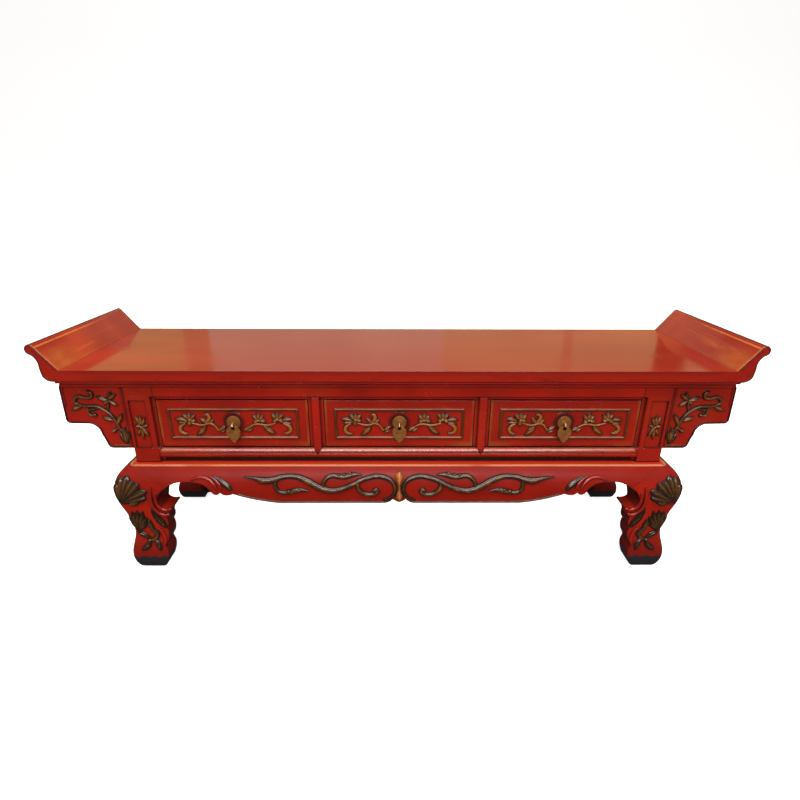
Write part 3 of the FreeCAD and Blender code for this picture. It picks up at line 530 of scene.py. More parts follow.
NOSE_UNDERSIDE = (0.2720, 0.2705)
NOSE_RISE = (0.2805, 0.2855)
NOSE_FORWARD = (-0.1500, -0.1570)


def rail_material():
    """Lacquer with a glossy tan crest on the lower rail's nose, partly worn gilt and partly painted
    highlight, and near-black painted shadow below the nose.
    """
    shade = Shade("rail_lacquer")
    colour = lacquer_colour(shade)
    # Painted shadow: the rail below its nose is near black.
    under = shade.span(shade.axis("Z"), *NOSE_UNDERSIDE)
    rubbed = shade.patches(9.0, 0.35, 0.62, 0.15, 0.6, detail=5.0, stretch=(0.5, 1.0, 1.0), shift=3.0)
    proud = shade.span(shade.axis("Y"), *NOSE_FORWARD)
    # Tan on the nose's crest: partly worn gilt, partly painted highlight.
    crest = shade.times(proud, shade.span(shade.axis("Z"), *NOSE_RISE))
    colour = shade.mix(shade.times(crest, rubbed), colour, TAN)
    shade.set("Base Color", shade.mix(under, colour, BLACK_GLAZE_AND_SHADE))
    lacquer_finish(shade, smooth=0.19, dull=0.36)
    shade.set("Specular IOR Level", shade.span(crest, 0.0, 1.0, 0.15, 0.95))
    return shade.material


TOP_RED = (0.185, 0.0095, 0.0035)
TOP_DEEP = (0.155, 0.0080, 0.0035)
WORN_STREAK = (0.40, 0.125, 0.016)
RIM_GOLD = (0.50, 0.170, 0.020)
TOP_GRAIN = (0.25, 1.0, 1.0)
BOARD_LOW = 0.452
BOARD_HIGH = 0.476
TOP_FACE = 0.180
CREASE = 0.683
RIM_HIGH = 0.5235
CREST_HIGH = 0.530

FACE = (TOP_FACE - 0.0010, TOP_FACE - 0.0002)
ENDS = (0.676, 0.690)
STREAKS_FORWARD = (-0.14, 0.08)
GOLD_FORWARD = (0.06, 0.16)
GOLD_INWARD = (0.722, 0.700)
RIM_RISE = (RIM_HIGH - 0.0022, RIM_HIGH - 0.0006)
RIM_FALL = (RIM_HIGH + 0.0018, RIM_HIGH + 0.0006)
RIM_FORWARD = (-0.10, 0.04)
ARRIS_FORWARD = (TOP_FACE - 0.0045, TOP_FACE - 0.0030)
CREST_RISE = (CREST_HIGH - 0.0016, CREST_HIGH - 0.0006)
BACK_LINE = (0.0035 - TOP_FACE, 0.0020 - TOP_FACE)
LOW_LINE = (BOARD_LOW + 0.0025, BOARD_LOW + 0.0010)
HIGH_LINE = (BOARD_HIGH - 0.0022, BOARD_HIGH - 0.0010)
SHADED_RISE = (BOARD_HIGH - 0.017, BOARD_HIGH - 0.001)
SHADED_INWARD = (CREASE, CREASE - 0.05)
BOARD_INWARD = (CREASE + 0.001, CREASE)


def worn_gold(shade, forward, across):
    """Share of gold worn along the length of the upturned ends, most of it at the front."""
    streak = shade.patches(26.0, 0.50, 0.72, detail=6.0, stretch=(1.0, 0.05, 1.0), roughness=0.7)
    front_end = shade.times(shade.span(forward, *GOLD_FORWARD), shade.span(across, *GOLD_INWARD))
    patchy = shade.patches(20.0, 0.35, 0.62, 0.25, 0.75, detail=5.0, stretch=(1.0, 0.4, 1.0), shift=2.0)
    streak = shade.times(streak, shade.span(forward, *STREAKS_FORWARD, 0.15, 0.9))
    return shade.times(shade.larger(streak, shade.times(front_end, patchy)), 0.58)


def rim_line(shade, forward, up):
    """Share of gold in a line below the crest of the upturned ends and down their front arris."""
    rubbed = shade.patches(30.0, 0.25, 0.55, 0.3, 1.0, shift=5.0)
    rim = shade.times(shade.span(up, *RIM_RISE), shade.span(up, *RIM_FALL))
    rim = shade.times(rim, shade.span(forward, *RIM_FORWARD, 0.05, 1.0))
    arris = shade.span(forward, *ARRIS_FORWARD, 0.0, 0.7)
    return shade.times(shade.larger(rim, arris), shade.times(rubbed, 0.5))


def face_glaze_and_shade(shade, across, up):
    """Share of darkening on the front and back faces of the board: dark lines, painted shade near the
    top, and brushed patches.
    """
    looks = {"detail": 6.0, "stretch": (1.0, 1.0, 3.0), "roughness": 0.7, "shift": 6.0}
    brushed = shade.patches(11.0, 0.40, 0.70, **looks)
    lines = shade.larger(shade.span(up, *LOW_LINE, 0.0, 0.9), shade.span(up, *HIGH_LINE, 0.0, 0.6))
    lines = shade.times(lines, shade.span(across, *BOARD_INWARD))
    # Painted shade: the board's front face is darker towards its top.
    shaded = shade.times(shade.span(up, *SHADED_RISE), 0.42)
    shaded = shade.times(shaded, shade.span(across, *SHADED_INWARD))
    return shade.larger(shaded, shade.larger(lines, shade.times(brushed, 0.45)))


def top_material():
    """Glossier lacquer with worn gold on the upturned ends and glazed edges."""
    shade = Shade("top_lacquer")
    colour = lacquer_colour(shade, TOP_RED, TOP_DEEP, TOP_GRAIN, strong=0.0)
    across = shade.away("X")
    forward = shade.times(shade.axis("Y"), -1.0)
    up = shade.axis("Z")
    on_face = shade.span(shade.away("Y"), *FACE)
    on_top = shade.minus(1.0, on_face)
    colour = shade.mix(shade.times(on_face, 0.75), colour, RED)
    ends = shade.times(shade.span(across, *ENDS), on_top)
    colour = shade.mix(shade.times(worn_gold(shade, forward, across), ends), colour, WORN_STREAK)
    colour = shade.mix(shade.times(rim_line(shade, forward, up), ends), colour, RIM_GOLD)
    crest = shade.times(shade.span(up, *CREST_RISE), ends)
    back_line = shade.span(forward, *BACK_LINE, 0.0, 0.75)
    colour = shade.mix(shade.times(shade.larger(crest, back_line), 0.8), colour, DARK_GLAZE_AND_SHADE)
    dark = shade.times(shade.times(face_glaze_and_shade(shade, across, up), on_face), 0.85)
    shade.set("Base Color", shade.mix(dark, colour, DARK_GLAZE_AND_SHADE))
    dull = shade.patches(14.0, 0.3, 0.8, 0.07, 0.17, detail=5.0, stretch=(0.4, 1.0, 1.0), shift=1.0)
    shade.set("Roughness", dull)
    shade.bump(shade.noise(60.0, detail=5.0, stretch=(0.15, 1.0, 1.0)), strength=0.04, deep=0.0004)
    return shade.material


GLAZE_BROWN = (0.040, 0.010, 0.004)
GILT = (0.27, 0.088, 0.015)
DRAWER_MIDDLE = 0.34775
BOSS_MIDDLE = 0.35425
SIDE_MARGIN = (0.1525, 0.1590)
LOW_MARGIN = (0.310, 0.296)
LOW_MARGIN_OUTWARD = (0.10, 0.15)
BEAD_FORWARD = (-0.1520, -0.1526)
PAST_BOSS_OUTWARD = (0.028, 0.030)
PAST_BOSS_UPWARD = (0.0284, 0.0292)
RING_INNER = (0.0140, 0.0150)
RING_OUTER = (0.0208, 0.0196)


def folded_drawer(shade):
    """Distance to the right of the nearest drawer's middle."""
    pitch = DRAWER_PITCH * MM
    moved = shade.plus(shade.axis("X"), 1.5 * pitch)
    return shade.minus(shade.math("MODULO", moved, pitch), pitch / 2)


def drawer_material():
    """Red lacquer fronts with tan rubbed margins, a brown bead frame rubbed through to gilt that is
    painted on its upper faces as painted light, and a glazed boss.
    """
    shade = Shade("drawer_lacquer")
    aside = shade.math("ABSOLUTE", folded_drawer(shade))
    colour = lacquer_colour(shade)
    rubbed = shade.patches(22.0, 0.30, 0.62, 0.35, 1.0, detail=5.0, shift=5.0)
    patchy = shade.patches(6.0, 0.38, 0.60, 0.20, 1.0, shift=11.0)
    low = shade.span(shade.axis("Z"), *LOW_MARGIN)
    low = shade.times(low, shade.span(aside, *LOW_MARGIN_OUTWARD, 0.1, 0.8))
    margin = shade.larger(shade.span(aside, *SIDE_MARGIN), low)
    colour = shade.mix(shade.times(shade.times(margin, rubbed), patchy), colour, TAN)
    proud = shade.span(shade.axis("Y"), *BEAD_FORWARD)
    above = shade.math("ABSOLUTE", shade.minus(shade.axis("Z"), DRAWER_MIDDLE))
    past_boss = shade.larger(shade.span(aside, *PAST_BOSS_OUTWARD), shade.span(above, *PAST_BOSS_UPWARD))
    # Painted light: the bead is paler gilt on its upper faces and brown on the others.
    lit_upward_share = shade.span(shade.facing("Z"), -0.10, 0.55, 0.22, 1.0)
    bead = shade.mix(shade.times(lit_upward_share, rubbed), GLAZE_BROWN, GILT)
    colour = shade.mix(shade.times(proud, past_boss), colour, bead)
    out = shade.far(aside, shade.minus(shade.axis("Z"), BOSS_MIDDLE))
    ring = shade.times(shade.span(out, *RING_INNER), shade.span(out, *RING_OUTER))
    shade.set("Base Color", shade.mix(shade.times(ring, 0.88), colour, DARK_GLAZE_AND_SHADE))
    lacquer_finish(shade)
    return shade.material


# Bare wood, brass and carved finishes

WOOD_DARK = (0.20, 0.095, 0.042)
WOOD_PALE = (0.36, 0.20, 0.10)
WOOD_PORES = (0.12, 0.06, 0.03)


def plain_wood_material():
    shade = Shade("plain_wood")
    rings = shade.patches(9.0, 0.3, 0.7, detail=6.0, stretch=(0.15, 1.0, 1.0), roughness=0.65)
    colour = shade.mix(rings, WOOD_DARK, WOOD_PALE)
    fine = shade.noise(120.0, stretch=(0.05, 1.0, 1.0))
    colour = shade.mix(shade.span(fine, 0.5, 0.75, 0.0, 0.5), colour, WOOD_PORES)
    shade.set("Base Color", colour)
    shade.set("Roughness", 0.7)
    shade.bump(fine, strength=0.2, deep=0.0005)
    return shade.material


HOLE_MIDDLE = 0.34175
HOLE_INWARD = (0.0042, 0.0038)
PIN_SHADE_FALL = (0.3482, 0.3474)
BRASS_EDGE = 0.0016
BLACK = (0.004, 0.003, 0.003)
BRASS_BRIGHT = (0.46, 0.180, 0.045)
BRASS_STAIN = (0.22, 0.075, 0.017)
BRASS_DARK = (0.05, 0.020, 0.008)
# Pale cream of the pin, a painted highlight.
PIN_HIGHLIGHT_CREAM = (0.95, 0.72, 0.42)


def brass_material(name, bright=BRASS_BRIGHT, stained=BRASS_STAIN, shade_fall=None):
    """Aged brass, painted black as shade in the hole that the drop hangs from, or low down."""
    shade = Shade(name)
    stain = shade.patches(90.0, 0.40, 0.70, detail=6.0)
    dark = shade.larger(shade.crevice(FINE_REACH, 0.3, 0.9), shade.edge(BRASS_EDGE, 0.80, 0.995))
    colour = shade.mix(dark, shade.mix(stain, bright, stained), BRASS_DARK)
    # Painted shade: black and without gloss in the hole, or below a height on the pin.
    if shade_fall is None:
        out = shade.far(folded_drawer(shade), shade.minus(shade.axis("Z"), HOLE_MIDDLE))
        hole_shade = shade.span(out, *HOLE_INWARD)
    else:
        hole_shade = shade.span(shade.axis("Z"), *shade_fall)
    shade.set("Specular IOR Level", shade.minus(0.5, shade.times(hole_shade, 0.5)))
    shade.set("Base Color", shade.mix(hole_shade, colour, BLACK))
    shade.set("Metallic", shade.minus(0.7, shade.times(hole_shade, 0.7)))
    shade.set("Roughness", shade.span(stain, 0.0, 1.0, 0.36, 0.55))
    shade.bump(shade.noise(160.0), strength=0.15, deep=0.0003)
    return shade.material


PENDANT_GILT = (0.42, 0.150, 0.030)
STEM_CREST = (0.105, 0.042, 0.014)
OUTLINE_DARK = (0.020, 0.004, 0.004)
OUTLINE_CREST = (0.070, 0.009, 0.006)
LEG_GILT = (0.115, 0.042, 0.010)
OLIVE_DARK = (0.018, 0.010, 0.006)
OLIVE_CREST = (0.085, 0.036, 0.011)


def carving_material(name, low, crest, from_rise, to_rise, spots=0.0, rough=(0.14, 0.36), level=0.32):
    """Dark glaze low down and in grooves, rubbed through to a paler, partly gold crest."""
    shade = Shade(name)
    rise = shade.add("ShaderNodeAttribute", attribute_name="rise").outputs["Fac"]
    speckle = shade.times(shade.noise(160.0), 0.5)
    height = shade.plus(rise, shade.minus(speckle, 0.25))
    colour = shade.mix(shade.span(height, from_rise, to_rise), low, crest)
    gold = shade.patches(75.0, 0.54, 0.66, 0.0, spots, detail=3.0, shift=8.0)
    colour = shade.mix(shade.times(gold, shade.span(rise, 0.55, 0.95)), colour, GILT)
    colour = shade.mix(shade.crevice(FINE_REACH, 0.25, 0.85), colour, low)
    shade.set("Base Color", colour)
    shade.set("Specular IOR Level", level)
    shade.set("Roughness", shade.patches(60.0, 0.3, 0.7, *rough, shift=2.0))
    shade.bump(shade.noise(260.0, detail=3.0, stretch=(1.0, 1.0, 0.35)), strength=0.40, deep=0.0009)
    return shade.material


# Carving: raised ridges that follow given points (x, z) in millimetres over a CAD node

RAY_START = -0.40
BACKWARD = Vector((0.0, 1.0, 0.0))
UPWARD = Vector((0.0, 0.0, 1.0))
SINK = 0.5
SAMPLE_STEP = 2.0
SECTION_SHARES = (-1.0, -0.85, -0.5, -0.2, 0.0, 0.2, 0.5, 0.85, 1.0)
ROUND_SHARES = (0.0, 0.50, 0.86, 0.98, 1.0, 0.98, 0.86, 0.50, 0.0)
LEAF_SHARES = (0.0, 0.62, 0.60, 0.78, 1.0, 0.78, 0.60, 0.62, 0.0)
LEAF_OUTLINE_SHARES = ((0.0, 0.25), (0.25, 0.75), (0.5, 1.0), (0.75, 0.8), (1.0, 0.08))
BUD_OUTLINE_SHARES = (
    (-1.0, 0.1), (-0.8, 0.6), (-0.4, 0.92), (0.0, 1.0), (0.4, 0.92), (0.8, 0.6), (1.0, 0.1),
)
LEAF_HIGH = 4.0
TIP_HEIGHT_SHARE = 0.45
LEAST_HALF = 0.3
STEEPEST_FACING = -0.05
HEART_SHARE = 0.7
HEART_HEIGHT_SHARE = 1.25


def smooth_points(points, step):
    """Points along a Catmull-Rom curve through (x, z, half width) points."""
    ends = [points[0], *points, points[-1]]
    out = []
    for first in range(len(points) - 1):
        before, start, end, after = ends[first : first + 4]
        gap = math.hypot(end[0] - start[0], end[1] - start[1])
        count = max(2, round(gap / step))
        for index in range(count):
            t = index / count
            row = []
            for a, b, c, d in zip(before, start, end, after):
                bend = (2 * a - 5 * b + 4 * c - d) * t * t + (3 * b - a - 3 * c + d) * t**3
                row.append(0.5 * (2 * b + (c - a) * t + bend))
            out.append(row)
    out.append(list(points[-1]))
    return out


def surface_tree(carrier):
    """The faces of a CAD node, to cast rays at."""
    mesh = nodes[carrier].data
    corners = [vertex.co.copy() for vertex in mesh.vertices]
    faces = [tuple(polygon.vertices) for polygon in mesh.polygons]
    return BVHTree.FromPolygons(corners, faces)


class Carving:
    """One mesh of ridges on one CAD node, in one finish."""

    def __init__(self, name, carrier, finish, body="root", side=1, shift=0.0):
        self.name = name
        self.finish = finish
        self.body = body
        self.side = side
        self.shift = shift
        self.ground_tree = surface_tree(carrier)
        self.points = []
        self.faces = []
        self.rise = []
        self.depth = RAY_START

    def ground(self, x, z):
        """The place and normal of the carrier's front face at x, z in millimetres."""
        across = (x * self.side + self.shift) * MM
        start = Vector((across, RAY_START, z * MM))
        place, normal, _, _ = self.ground_tree.ray_cast(start, BACKWARD)
        if place is None or normal.y > STEEPEST_FACING:
            near = Vector((across, self.depth, z * MM))
            place, normal, _, _ = self.ground_tree.find_nearest(near)
        self.depth = place.y
        return place, normal

    def ridge(self, high, points, shares=ROUND_SHARES):
        """A ridge along (x, z, half width) points that stands up to high above the face."""
        line = smooth_points(points, SAMPLE_STEP)
        widest = max(point[2] for point in points)
        first_section = len(self.points)
        for index, (x, z, half) in enumerate(line):
            ahead = line[min(index + 1, len(line) - 1)]
            behind = line[max(index - 1, 0)]
            run = math.hypot(ahead[0] - behind[0], ahead[1] - behind[1]) or 1.0
            side_x = -(ahead[1] - behind[1]) / run
            side_z = (ahead[0] - behind[0]) / run
            half = max(half, LEAST_HALF)
            tall = high * (TIP_HEIGHT_SHARE + (1 - TIP_HEIGHT_SHARE) * half / widest)
            for across, share in zip(SECTION_SHARES, shares):
                place, normal = self.ground(x + side_x * half * across, z + side_z * half * across)
                lift = tall * share - (SINK if share == 0.0 else 0.0)
                self.points.append(place + normal * (lift * MM))
                self.rise.append(share * math.sqrt(half / widest))
        count = len(SECTION_SHARES)
        for index in range(len(line) - 1):
            start = first_section + index * count
            for column in range(count):
                after = (column + 1) % count
                around = (start + column, start + after, start + count + after, start + count + column)
                self.faces.append(around)
        self.faces.append(tuple(range(first_section, first_section + count)))
        last = first_section + (len(line) - 1) * count
        self.faces.append(tuple(range(last, last + count)))

    def leaf(self, base, tip, half, high=LEAF_HIGH, bend=0.0):
        """A ribbed leaf from base to tip, bowed sideways by bend."""
        run_x = tip[0] - base[0]
        run_z = tip[1] - base[1]
        length = math.hypot(run_x, run_z)
        points = []
        for along, width in LEAF_OUTLINE_SHARES:
            bow = bend * math.sin(math.pi * along)
            x = base[0] + run_x * along - run_z / length * bow
            z = base[1] + run_z * along + run_x / length * bow
            points.append((x, z, half * width))
        self.ridge(high, points, LEAF_SHARES)

    def bud(self, place, radius, high):
        """A round boss."""
        points = []
        for along, width in BUD_OUTLINE_SHARES:
            points.append((place[0] + along * radius, place[1], width * radius))
        self.ridge(high, points)

    def flower(self, place, tips, half, high=LEAF_HIGH):
        """Petals from one place to each tip, and a heart."""
        for tip in tips:
            self.leaf(place, tip, half, high)
        self.bud(place, half * HEART_SHARE, high * HEART_HEIGHT_SHARE)

    def finish_mesh(self):
        made = make_mesh_object(self.name, self.points, self.faces)
        mend = bmesh.new()
        mend.from_mesh(made.data)
        bmesh.ops.recalc_face_normals(mend, faces=mend.faces)
        mend.to_mesh(made.data)
        mend.free()
        values = made.data.attributes.new("rise", "FLOAT", "POINT")
        values.data.foreach_set("value", self.rise)
        made.data.materials.append(self.finish)
        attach(made, self.body)


def carve_spandrel(side, word, gilt, stem):
    """A curling vine with dark stems and gilt leaves on a front bracket."""
    node = "spandrel_front_" + word
    dark = Carving("carving_spandrel_dark_" + word, node, stem, side=side)
    dark.ridge(5.0, (
        (-651, 425, 2.0), (-642, 421, 3.5), (-643, 411, 4.0), (-656, 409, 4.2),
        (-669, 412, 4.0), (-678, 407, 4.0), (-679, 399, 3.5), (-672, 394, 2.5),
    ))
    dark.ridge(5.0, (
        (-675, 395, 2.0), (-661, 391, 3.2), (-644, 391, 3.4), (-630, 388, 3.6),
        (-619, 380, 3.4), (-610, 371, 3.2), (-603, 359, 3.4), (-599, 347, 3.4),
        (-594, 336, 3.0), (-588, 328, 2.0),
    ))
    dark.leaf((-632, 385), (-659, 381), 3.5)
    dark.ridge(4.0, ((-655, 388, 2.0), (-656, 377, 2.8), (-652, 370, 2.8), (-645, 369, 2.5)))
    dark.bud((-643, 371), 4.5, 6.0)
    dark.leaf((-611, 402), (-634, 413), 5.5)
    dark.leaf((-611, 402), (-601, 424), 4.5)
    dark.ridge(4.0, ((-611, 402, 2.0), (-611, 392, 2.6), (-614, 384, 2.4), (-618, 378, 1.5)))
    dark.ridge(4.0, ((-599, 342, 2.4), (-604, 338, 2.6), (-609, 336, 2.6)))
    dark.bud((-610, 334), 5.0, 6.0)
    dark.leaf((-606, 356), (-625, 368), 3.5)
    for tip in ((-600, 328), (-594, 341), (-585, 344), (-580, 334)):
        dark.leaf((-588, 303), tip, 6.0)
    dark.finish_mesh()
    bright = Carving("carving_spandrel_gilt_" + word, node, gilt, side=side)
    bright.leaf((-665, 392), (-691, 381), 5.5, 4.5)
    for tip, half in (((-630, 407), 4.5), ((-591, 418), 4.5), ((-591, 391), 4.0), ((-620, 394), 3.5)):
        bright.leaf((-610, 404), tip, half, 5.0)
    bright.leaf((-630, 366), (-606, 357), 5.5, 5.0)
    bright.leaf((-603, 344), (-586, 374), 5.5, 5.0)
    bright.leaf((-588, 303), (-589, 338), 3.5, 5.0)
    bright.ridge(1.4, ((-622, 300, 0.8), (-600, 300, 1.4), (-578, 300, 0.8)))
    bright.finish_mesh()


def carve_post(side, word, gilt):
    """A tall flower on a front post."""
    carving = Carving("carving_post_" + word, "post_front_" + word, gilt, side=side)
    upper = ((-561, 366), (-551, 371), (-541, 366), (-537, 346))
    lower = ((-539, 320), (-551, 312), (-563, 321), (-566, 345))
    carving.flower((-551, 342), upper + lower, 4.0)
    carving.finish_mesh()


KNEE_ROOT = (-609, 177)
KNEE_TIPS = ((-609, 222), (-600, 236), (-587, 239), (-577, 228), (-564, 223), (-550, 206), (-553, 190))

# Share of the way from root to tip, and half width there
KNEE_RAY_SHARES = ((0.0, 3.0), (1 / 3, 7.0), (2 / 3, 9.5), (7 / 8, 9.0), (1.0, 4.0))


def carve_leg(side, word, gilt, olive, red):
    """A shell on the knee, a palm leaf and sprigs below it, and scrolls along the inner side."""
    node = "leg_front_" + word
    shell = Carving("carving_knee_" + word, node, gilt, side=side)
    for tip in KNEE_TIPS:
        ray = []
        for along, half in KNEE_RAY_SHARES:
            x = KNEE_ROOT[0] + (tip[0] - KNEE_ROOT[0]) * along
            z = KNEE_ROOT[1] + (tip[1] - KNEE_ROOT[1]) * along
            ray.append((x, z, half))
        shell.ridge(6.5, ray, LEAF_SHARES)
    for tip in ((-602, 140), (-592, 152), (-580, 155), (-567, 152), (-562, 136), (-566, 118)):
        shell.leaf((-590, 98), tip, 7.0, 5.0)
    shell.finish_mesh()
    sprig = Carving("carving_leg_dark_" + word, node, olive, side=side)
    sprig.ridge(5.5, ((-594, 176, 2.0), (-588, 175, 8.0), (-579, 176, 9.0), (-569, 179, 4.0)))
    sprig.ridge(5.0, (
        (-560, 128, 3.0), (-559, 114, 6.5), (-556, 100, 6.0), (-548, 88, 6.0), (-553, 77, 5.5),
        (-565, 72, 4.0),
    ))
    sprig.leaf((-564, 72), (-594, 93), 6.5, 5.0, bend=-4.0)
    sprig.leaf((-564, 71), (-589, 47), 7.5, 5.0, bend=3.0)
    sprig.leaf((-556, 76), (-544, 45), 6.5, 5.0, bend=2.0)
    sprig.bud((-566, 73), 4.5, 6.5)
    sprig.ridge(4.5, (
        (-546, 160, 2.0), (-545, 146, 5.0), (-539, 132, 8.0), (-532, 120, 8.5), (-526, 105, 4.0),
    ), LEAF_SHARES)
    sprig.finish_mesh()
    scroll = Carving("carving_scroll_" + word, node, red, side=side)
    scroll.ridge(4.5, (
        (-538, 214, 2.0), (-542, 196, 4.0), (-543, 178, 4.5), (-540, 160, 4.5),
        (-532, 147, 4.5), (-520, 141, 4.5), (-507, 144, 4.0), (-498, 154, 2.0),
    ))
    scroll.ridge(4.0, (
        (-530, 200, 2.0), (-533, 186, 3.5), (-532, 172, 4.0), (-525, 160, 4.0),
        (-514, 155, 4.0), (-502, 161, 3.5), (-493, 173, 2.0),
    ))
    scroll.ridge(3.5, ((-543, 104, 2.0), (-536, 92, 4.0), (-532, 74, 4.5), (-534, 58, 3.0)))
    scroll.finish_mesh()


def carve_drawer(index, word, gilt):
    """Two flowering sprays inside the bead frame, one on each side of the pull."""
    drawer = "drawer_" + word
    shift = (index - 1) * DRAWER_PITCH
    carving = Carving("carving_" + drawer, drawer + "_front", gilt, body=drawer, shift=shift)
    carving.leaf((-36, 331), (-17, 343), 5.5)
    carving.leaf((-34, 327), (-20, 333), 3.5, 3.5)
    carving.ridge(3.5, (
        (-34, 332, 2.5), (-43, 345, 3.0), (-54, 349, 3.0), (-70, 345, 3.0), (-90, 350, 2.5),
    ))
    carving.ridge(4.0, ((-60, 350, 3.5), (-52, 360, 5.0), (-54, 369, 4.5), (-62, 369, 2.5)))
    carving.leaf((-56, 347), (-42, 358), 5.0)
    carving.leaf((-56, 348), (-72, 362), 5.5)
    carving.leaf((-60, 346), (-84, 321), 7.0, bend=3.0)
    carving.flower((-94, 357), ((-107, 370), (-94, 374), (-81, 369), (-80, 353), (-96, 342)), 6.0)
    carving.leaf((-99, 354), (-126, 359), 5.5, bend=-2.0)
    carving.leaf((-99, 352), (-122, 350), 4.0, 3.5)
    carving.ridge(4.0, (
        (-104, 349, 3.0), (-115, 341, 5.0), (-116, 331, 5.0), (-108, 325, 4.0), (-100, 326, 1.5),
    ))
    carving.leaf((36, 341), (17, 331), 5.5)
    carving.leaf((40, 338), (26, 329), 4.0, 3.5)
    carving.ridge(3.5, ((32, 340, 2.5), (44, 347, 3.0), (56, 347, 3.0), (70, 345, 3.0), (90, 350, 2.5)))
    carving.flower((53, 356), ((40, 368), (53, 374), (65, 367), (69, 353), (41, 350)), 6.0)
    carving.leaf((62, 346), (88, 324), 7.0, bend=-3.0)
    carving.flower((93, 358), ((81, 371), (94, 375), (106, 370), (107, 351), (82, 351)), 6.0)
    carving.leaf((100, 355), (127, 357), 5.5, bend=2.0)
    carving.leaf((100, 352), (124, 347), 4.0, 3.5)
    carving.ridge(4.0, (
        (105, 349, 3.0), (118, 342, 5.0), (120, 332, 5.0), (112, 326, 4.0), (104, 327, 1.5),
    ))
    carving.finish_mesh()


EDGE_INSET = 4.0
EDGE_HALF = 1.6
EDGE_PROBE = -0.175
EDGE_PLACES = range(-352, -14, 12)


def edge_line(carrier):
    """Points of a line along the lower edge of a carrier's left half, a little above the edge."""
    tree = surface_tree(carrier)
    points = []
    for x in EDGE_PLACES:
        place = tree.ray_cast(Vector((x * MM, EDGE_PROBE, 0.0)), UPWARD)[0]
        points.append((x, place.z / MM + EDGE_INSET, EDGE_HALF))
    return points


def carve_apron(side, word, olive, red):
    """A long scrolling vine on half of the front apron, and ribs on the cusp beside the leg."""
    vine = Carving("carving_apron_" + word, "apron_front", olive, side=side)
    vine.ridge(6.5, (
        (-337, 237, 1.0), (-314, 234, 4.0), (-292, 229, 7.5), (-274, 231, 7.0),
        (-256, 236, 6.0), (-234, 238, 5.5), (-215, 235, 6.5), (-196, 227, 7.5),
        (-177, 216, 7.5), (-160, 209, 7.5), (-142, 207, 7.0), (-122, 212, 6.5),
        (-101, 221, 6.0), (-85, 229, 5.5), (-66, 235, 5.5), (-47, 238, 5.5), (-29, 235, 5.5),
        (-16, 228, 5.0), (-10, 216, 4.5), (-10, 202, 4.0), (-18, 191, 3.5), (-35, 184, 1.5),
    ))
    vine.ridge(5.5, (
        (-268, 230, 4.0), (-268, 214, 5.0), (-260, 204, 5.0), (-246, 202, 5.0),
        (-229, 206, 6.5), (-212, 209, 4.5), (-194, 206, 1.0),
    ))
    for place in ((-240, 207), (-228, 210), (-217, 209)):
        vine.bud(place, 4.0, 7.0)
    vine.ridge(5.5, (
        (-164, 211, 3.5), (-164, 225, 4.5), (-156, 235, 5.0), (-144, 239, 5.0),
        (-130, 237, 5.5), (-116, 237, 5.5), (-98, 241, 4.5), (-80, 241, 1.0),
    ))
    for place in ((-131, 240), (-119, 241), (-106, 243)):
        vine.bud(place, 4.0, 7.0)
    vine.ridge(5.5, (
        (-90, 226, 4.5), (-88, 210, 5.5), (-73, 199, 5.5), (-57, 198, 5.5), (-47, 206, 5.0),
        (-53, 213, 2.0),
    ))
    vine.bud((-53, 209), 4.5, 7.0)
    cusp = ((-402, 237, 1.5), (-387, 229, 5.0), (-374, 219, 7.0), (-364, 208, 4.0))
    vine.ridge(4.5, cusp, LEAF_SHARES)
    vine.ridge(1.8, edge_line("apron_front"))
    vine.finish_mesh()
    ribs = Carving("carving_cusp_" + word, "apron_front", red, side=side)
    ribs.ridge(3.5, (
        (-452, 229, 2.0), (-438, 235, 3.0), (-423, 235, 3.5), (-410, 230, 4.0),
        (-401, 220, 3.5), (-396, 210, 2.0),
    ))
    ribs.ridge(3.5, ((-412, 238, 1.5), (-400, 232, 3.0), (-390, 222, 3.5), (-385, 211, 2.0)))
    ribs.finish_mesh()


FACE_GAP = 0.0002
OUTLINE_STEP = 4.0


def front_outline(carrier):
    """The corners (x, z) in millimetres around the front face of a carrier, in order."""
    corners = nodes[carrier].data.vertices
    front = min(corner.co.y for corner in corners)
    steps = set()
    for polygon in nodes[carrier].data.polygons:
        around = [corners[index].co for index in polygon.vertices]
        if max(corner.y for corner in around) - front > FACE_GAP:
            continue
        places = [(round(corner.x / MM, 1), round(corner.z / MM, 1)) for corner in around]
        steps.update(zip(places, places[1:] + places[:1]))
    chain = {start: end for start, end in steps if (end, start) not in steps}
    loop = [min(chain)]
    while chain[loop[-1]] != loop[0]:
        loop.append(chain[loop[-1]])
    return loop


def outline_path(carrier, inset, half, right, top=math.inf):
    """Points of a line inset inside the part of a front outline that is left of right, below top."""
    loop = front_outline(carrier)
    path = []
    for start, end in zip(loop, loop[1:] + loop[:1]):
        run_x = end[0] - start[0]
        run_z = end[1] - start[1]
        length = math.hypot(run_x, run_z)
        steps = max(1, math.ceil(length / OUTLINE_STEP))
        for step in range(steps):
            x = start[0] + run_x * (step + 0.5) / steps - run_z / length * inset
            z = start[1] + run_z * (step + 0.5) / steps + run_x / length * inset
            path.append((x, z, half))
    flags = [x < right and z < top for x, z, _ in path]
    first = next(index for index in range(len(path)) if flags[index] and not flags[index - 1])
    count = sum(flags)
    return (path + path)[first : first + count]


SPANDREL_TOP = 449.0
SPANDREL_STEP = 362.0
SPANDREL_IN = -580.0
FLANGE_IN = -685.5


def carve_line(name, carrier, finish, side, high, points):
    """A piece that is one thin ridge."""
    line = Carving(name, carrier, finish, side=side)
    line.ridge(high, points)
    line.finish_mesh()


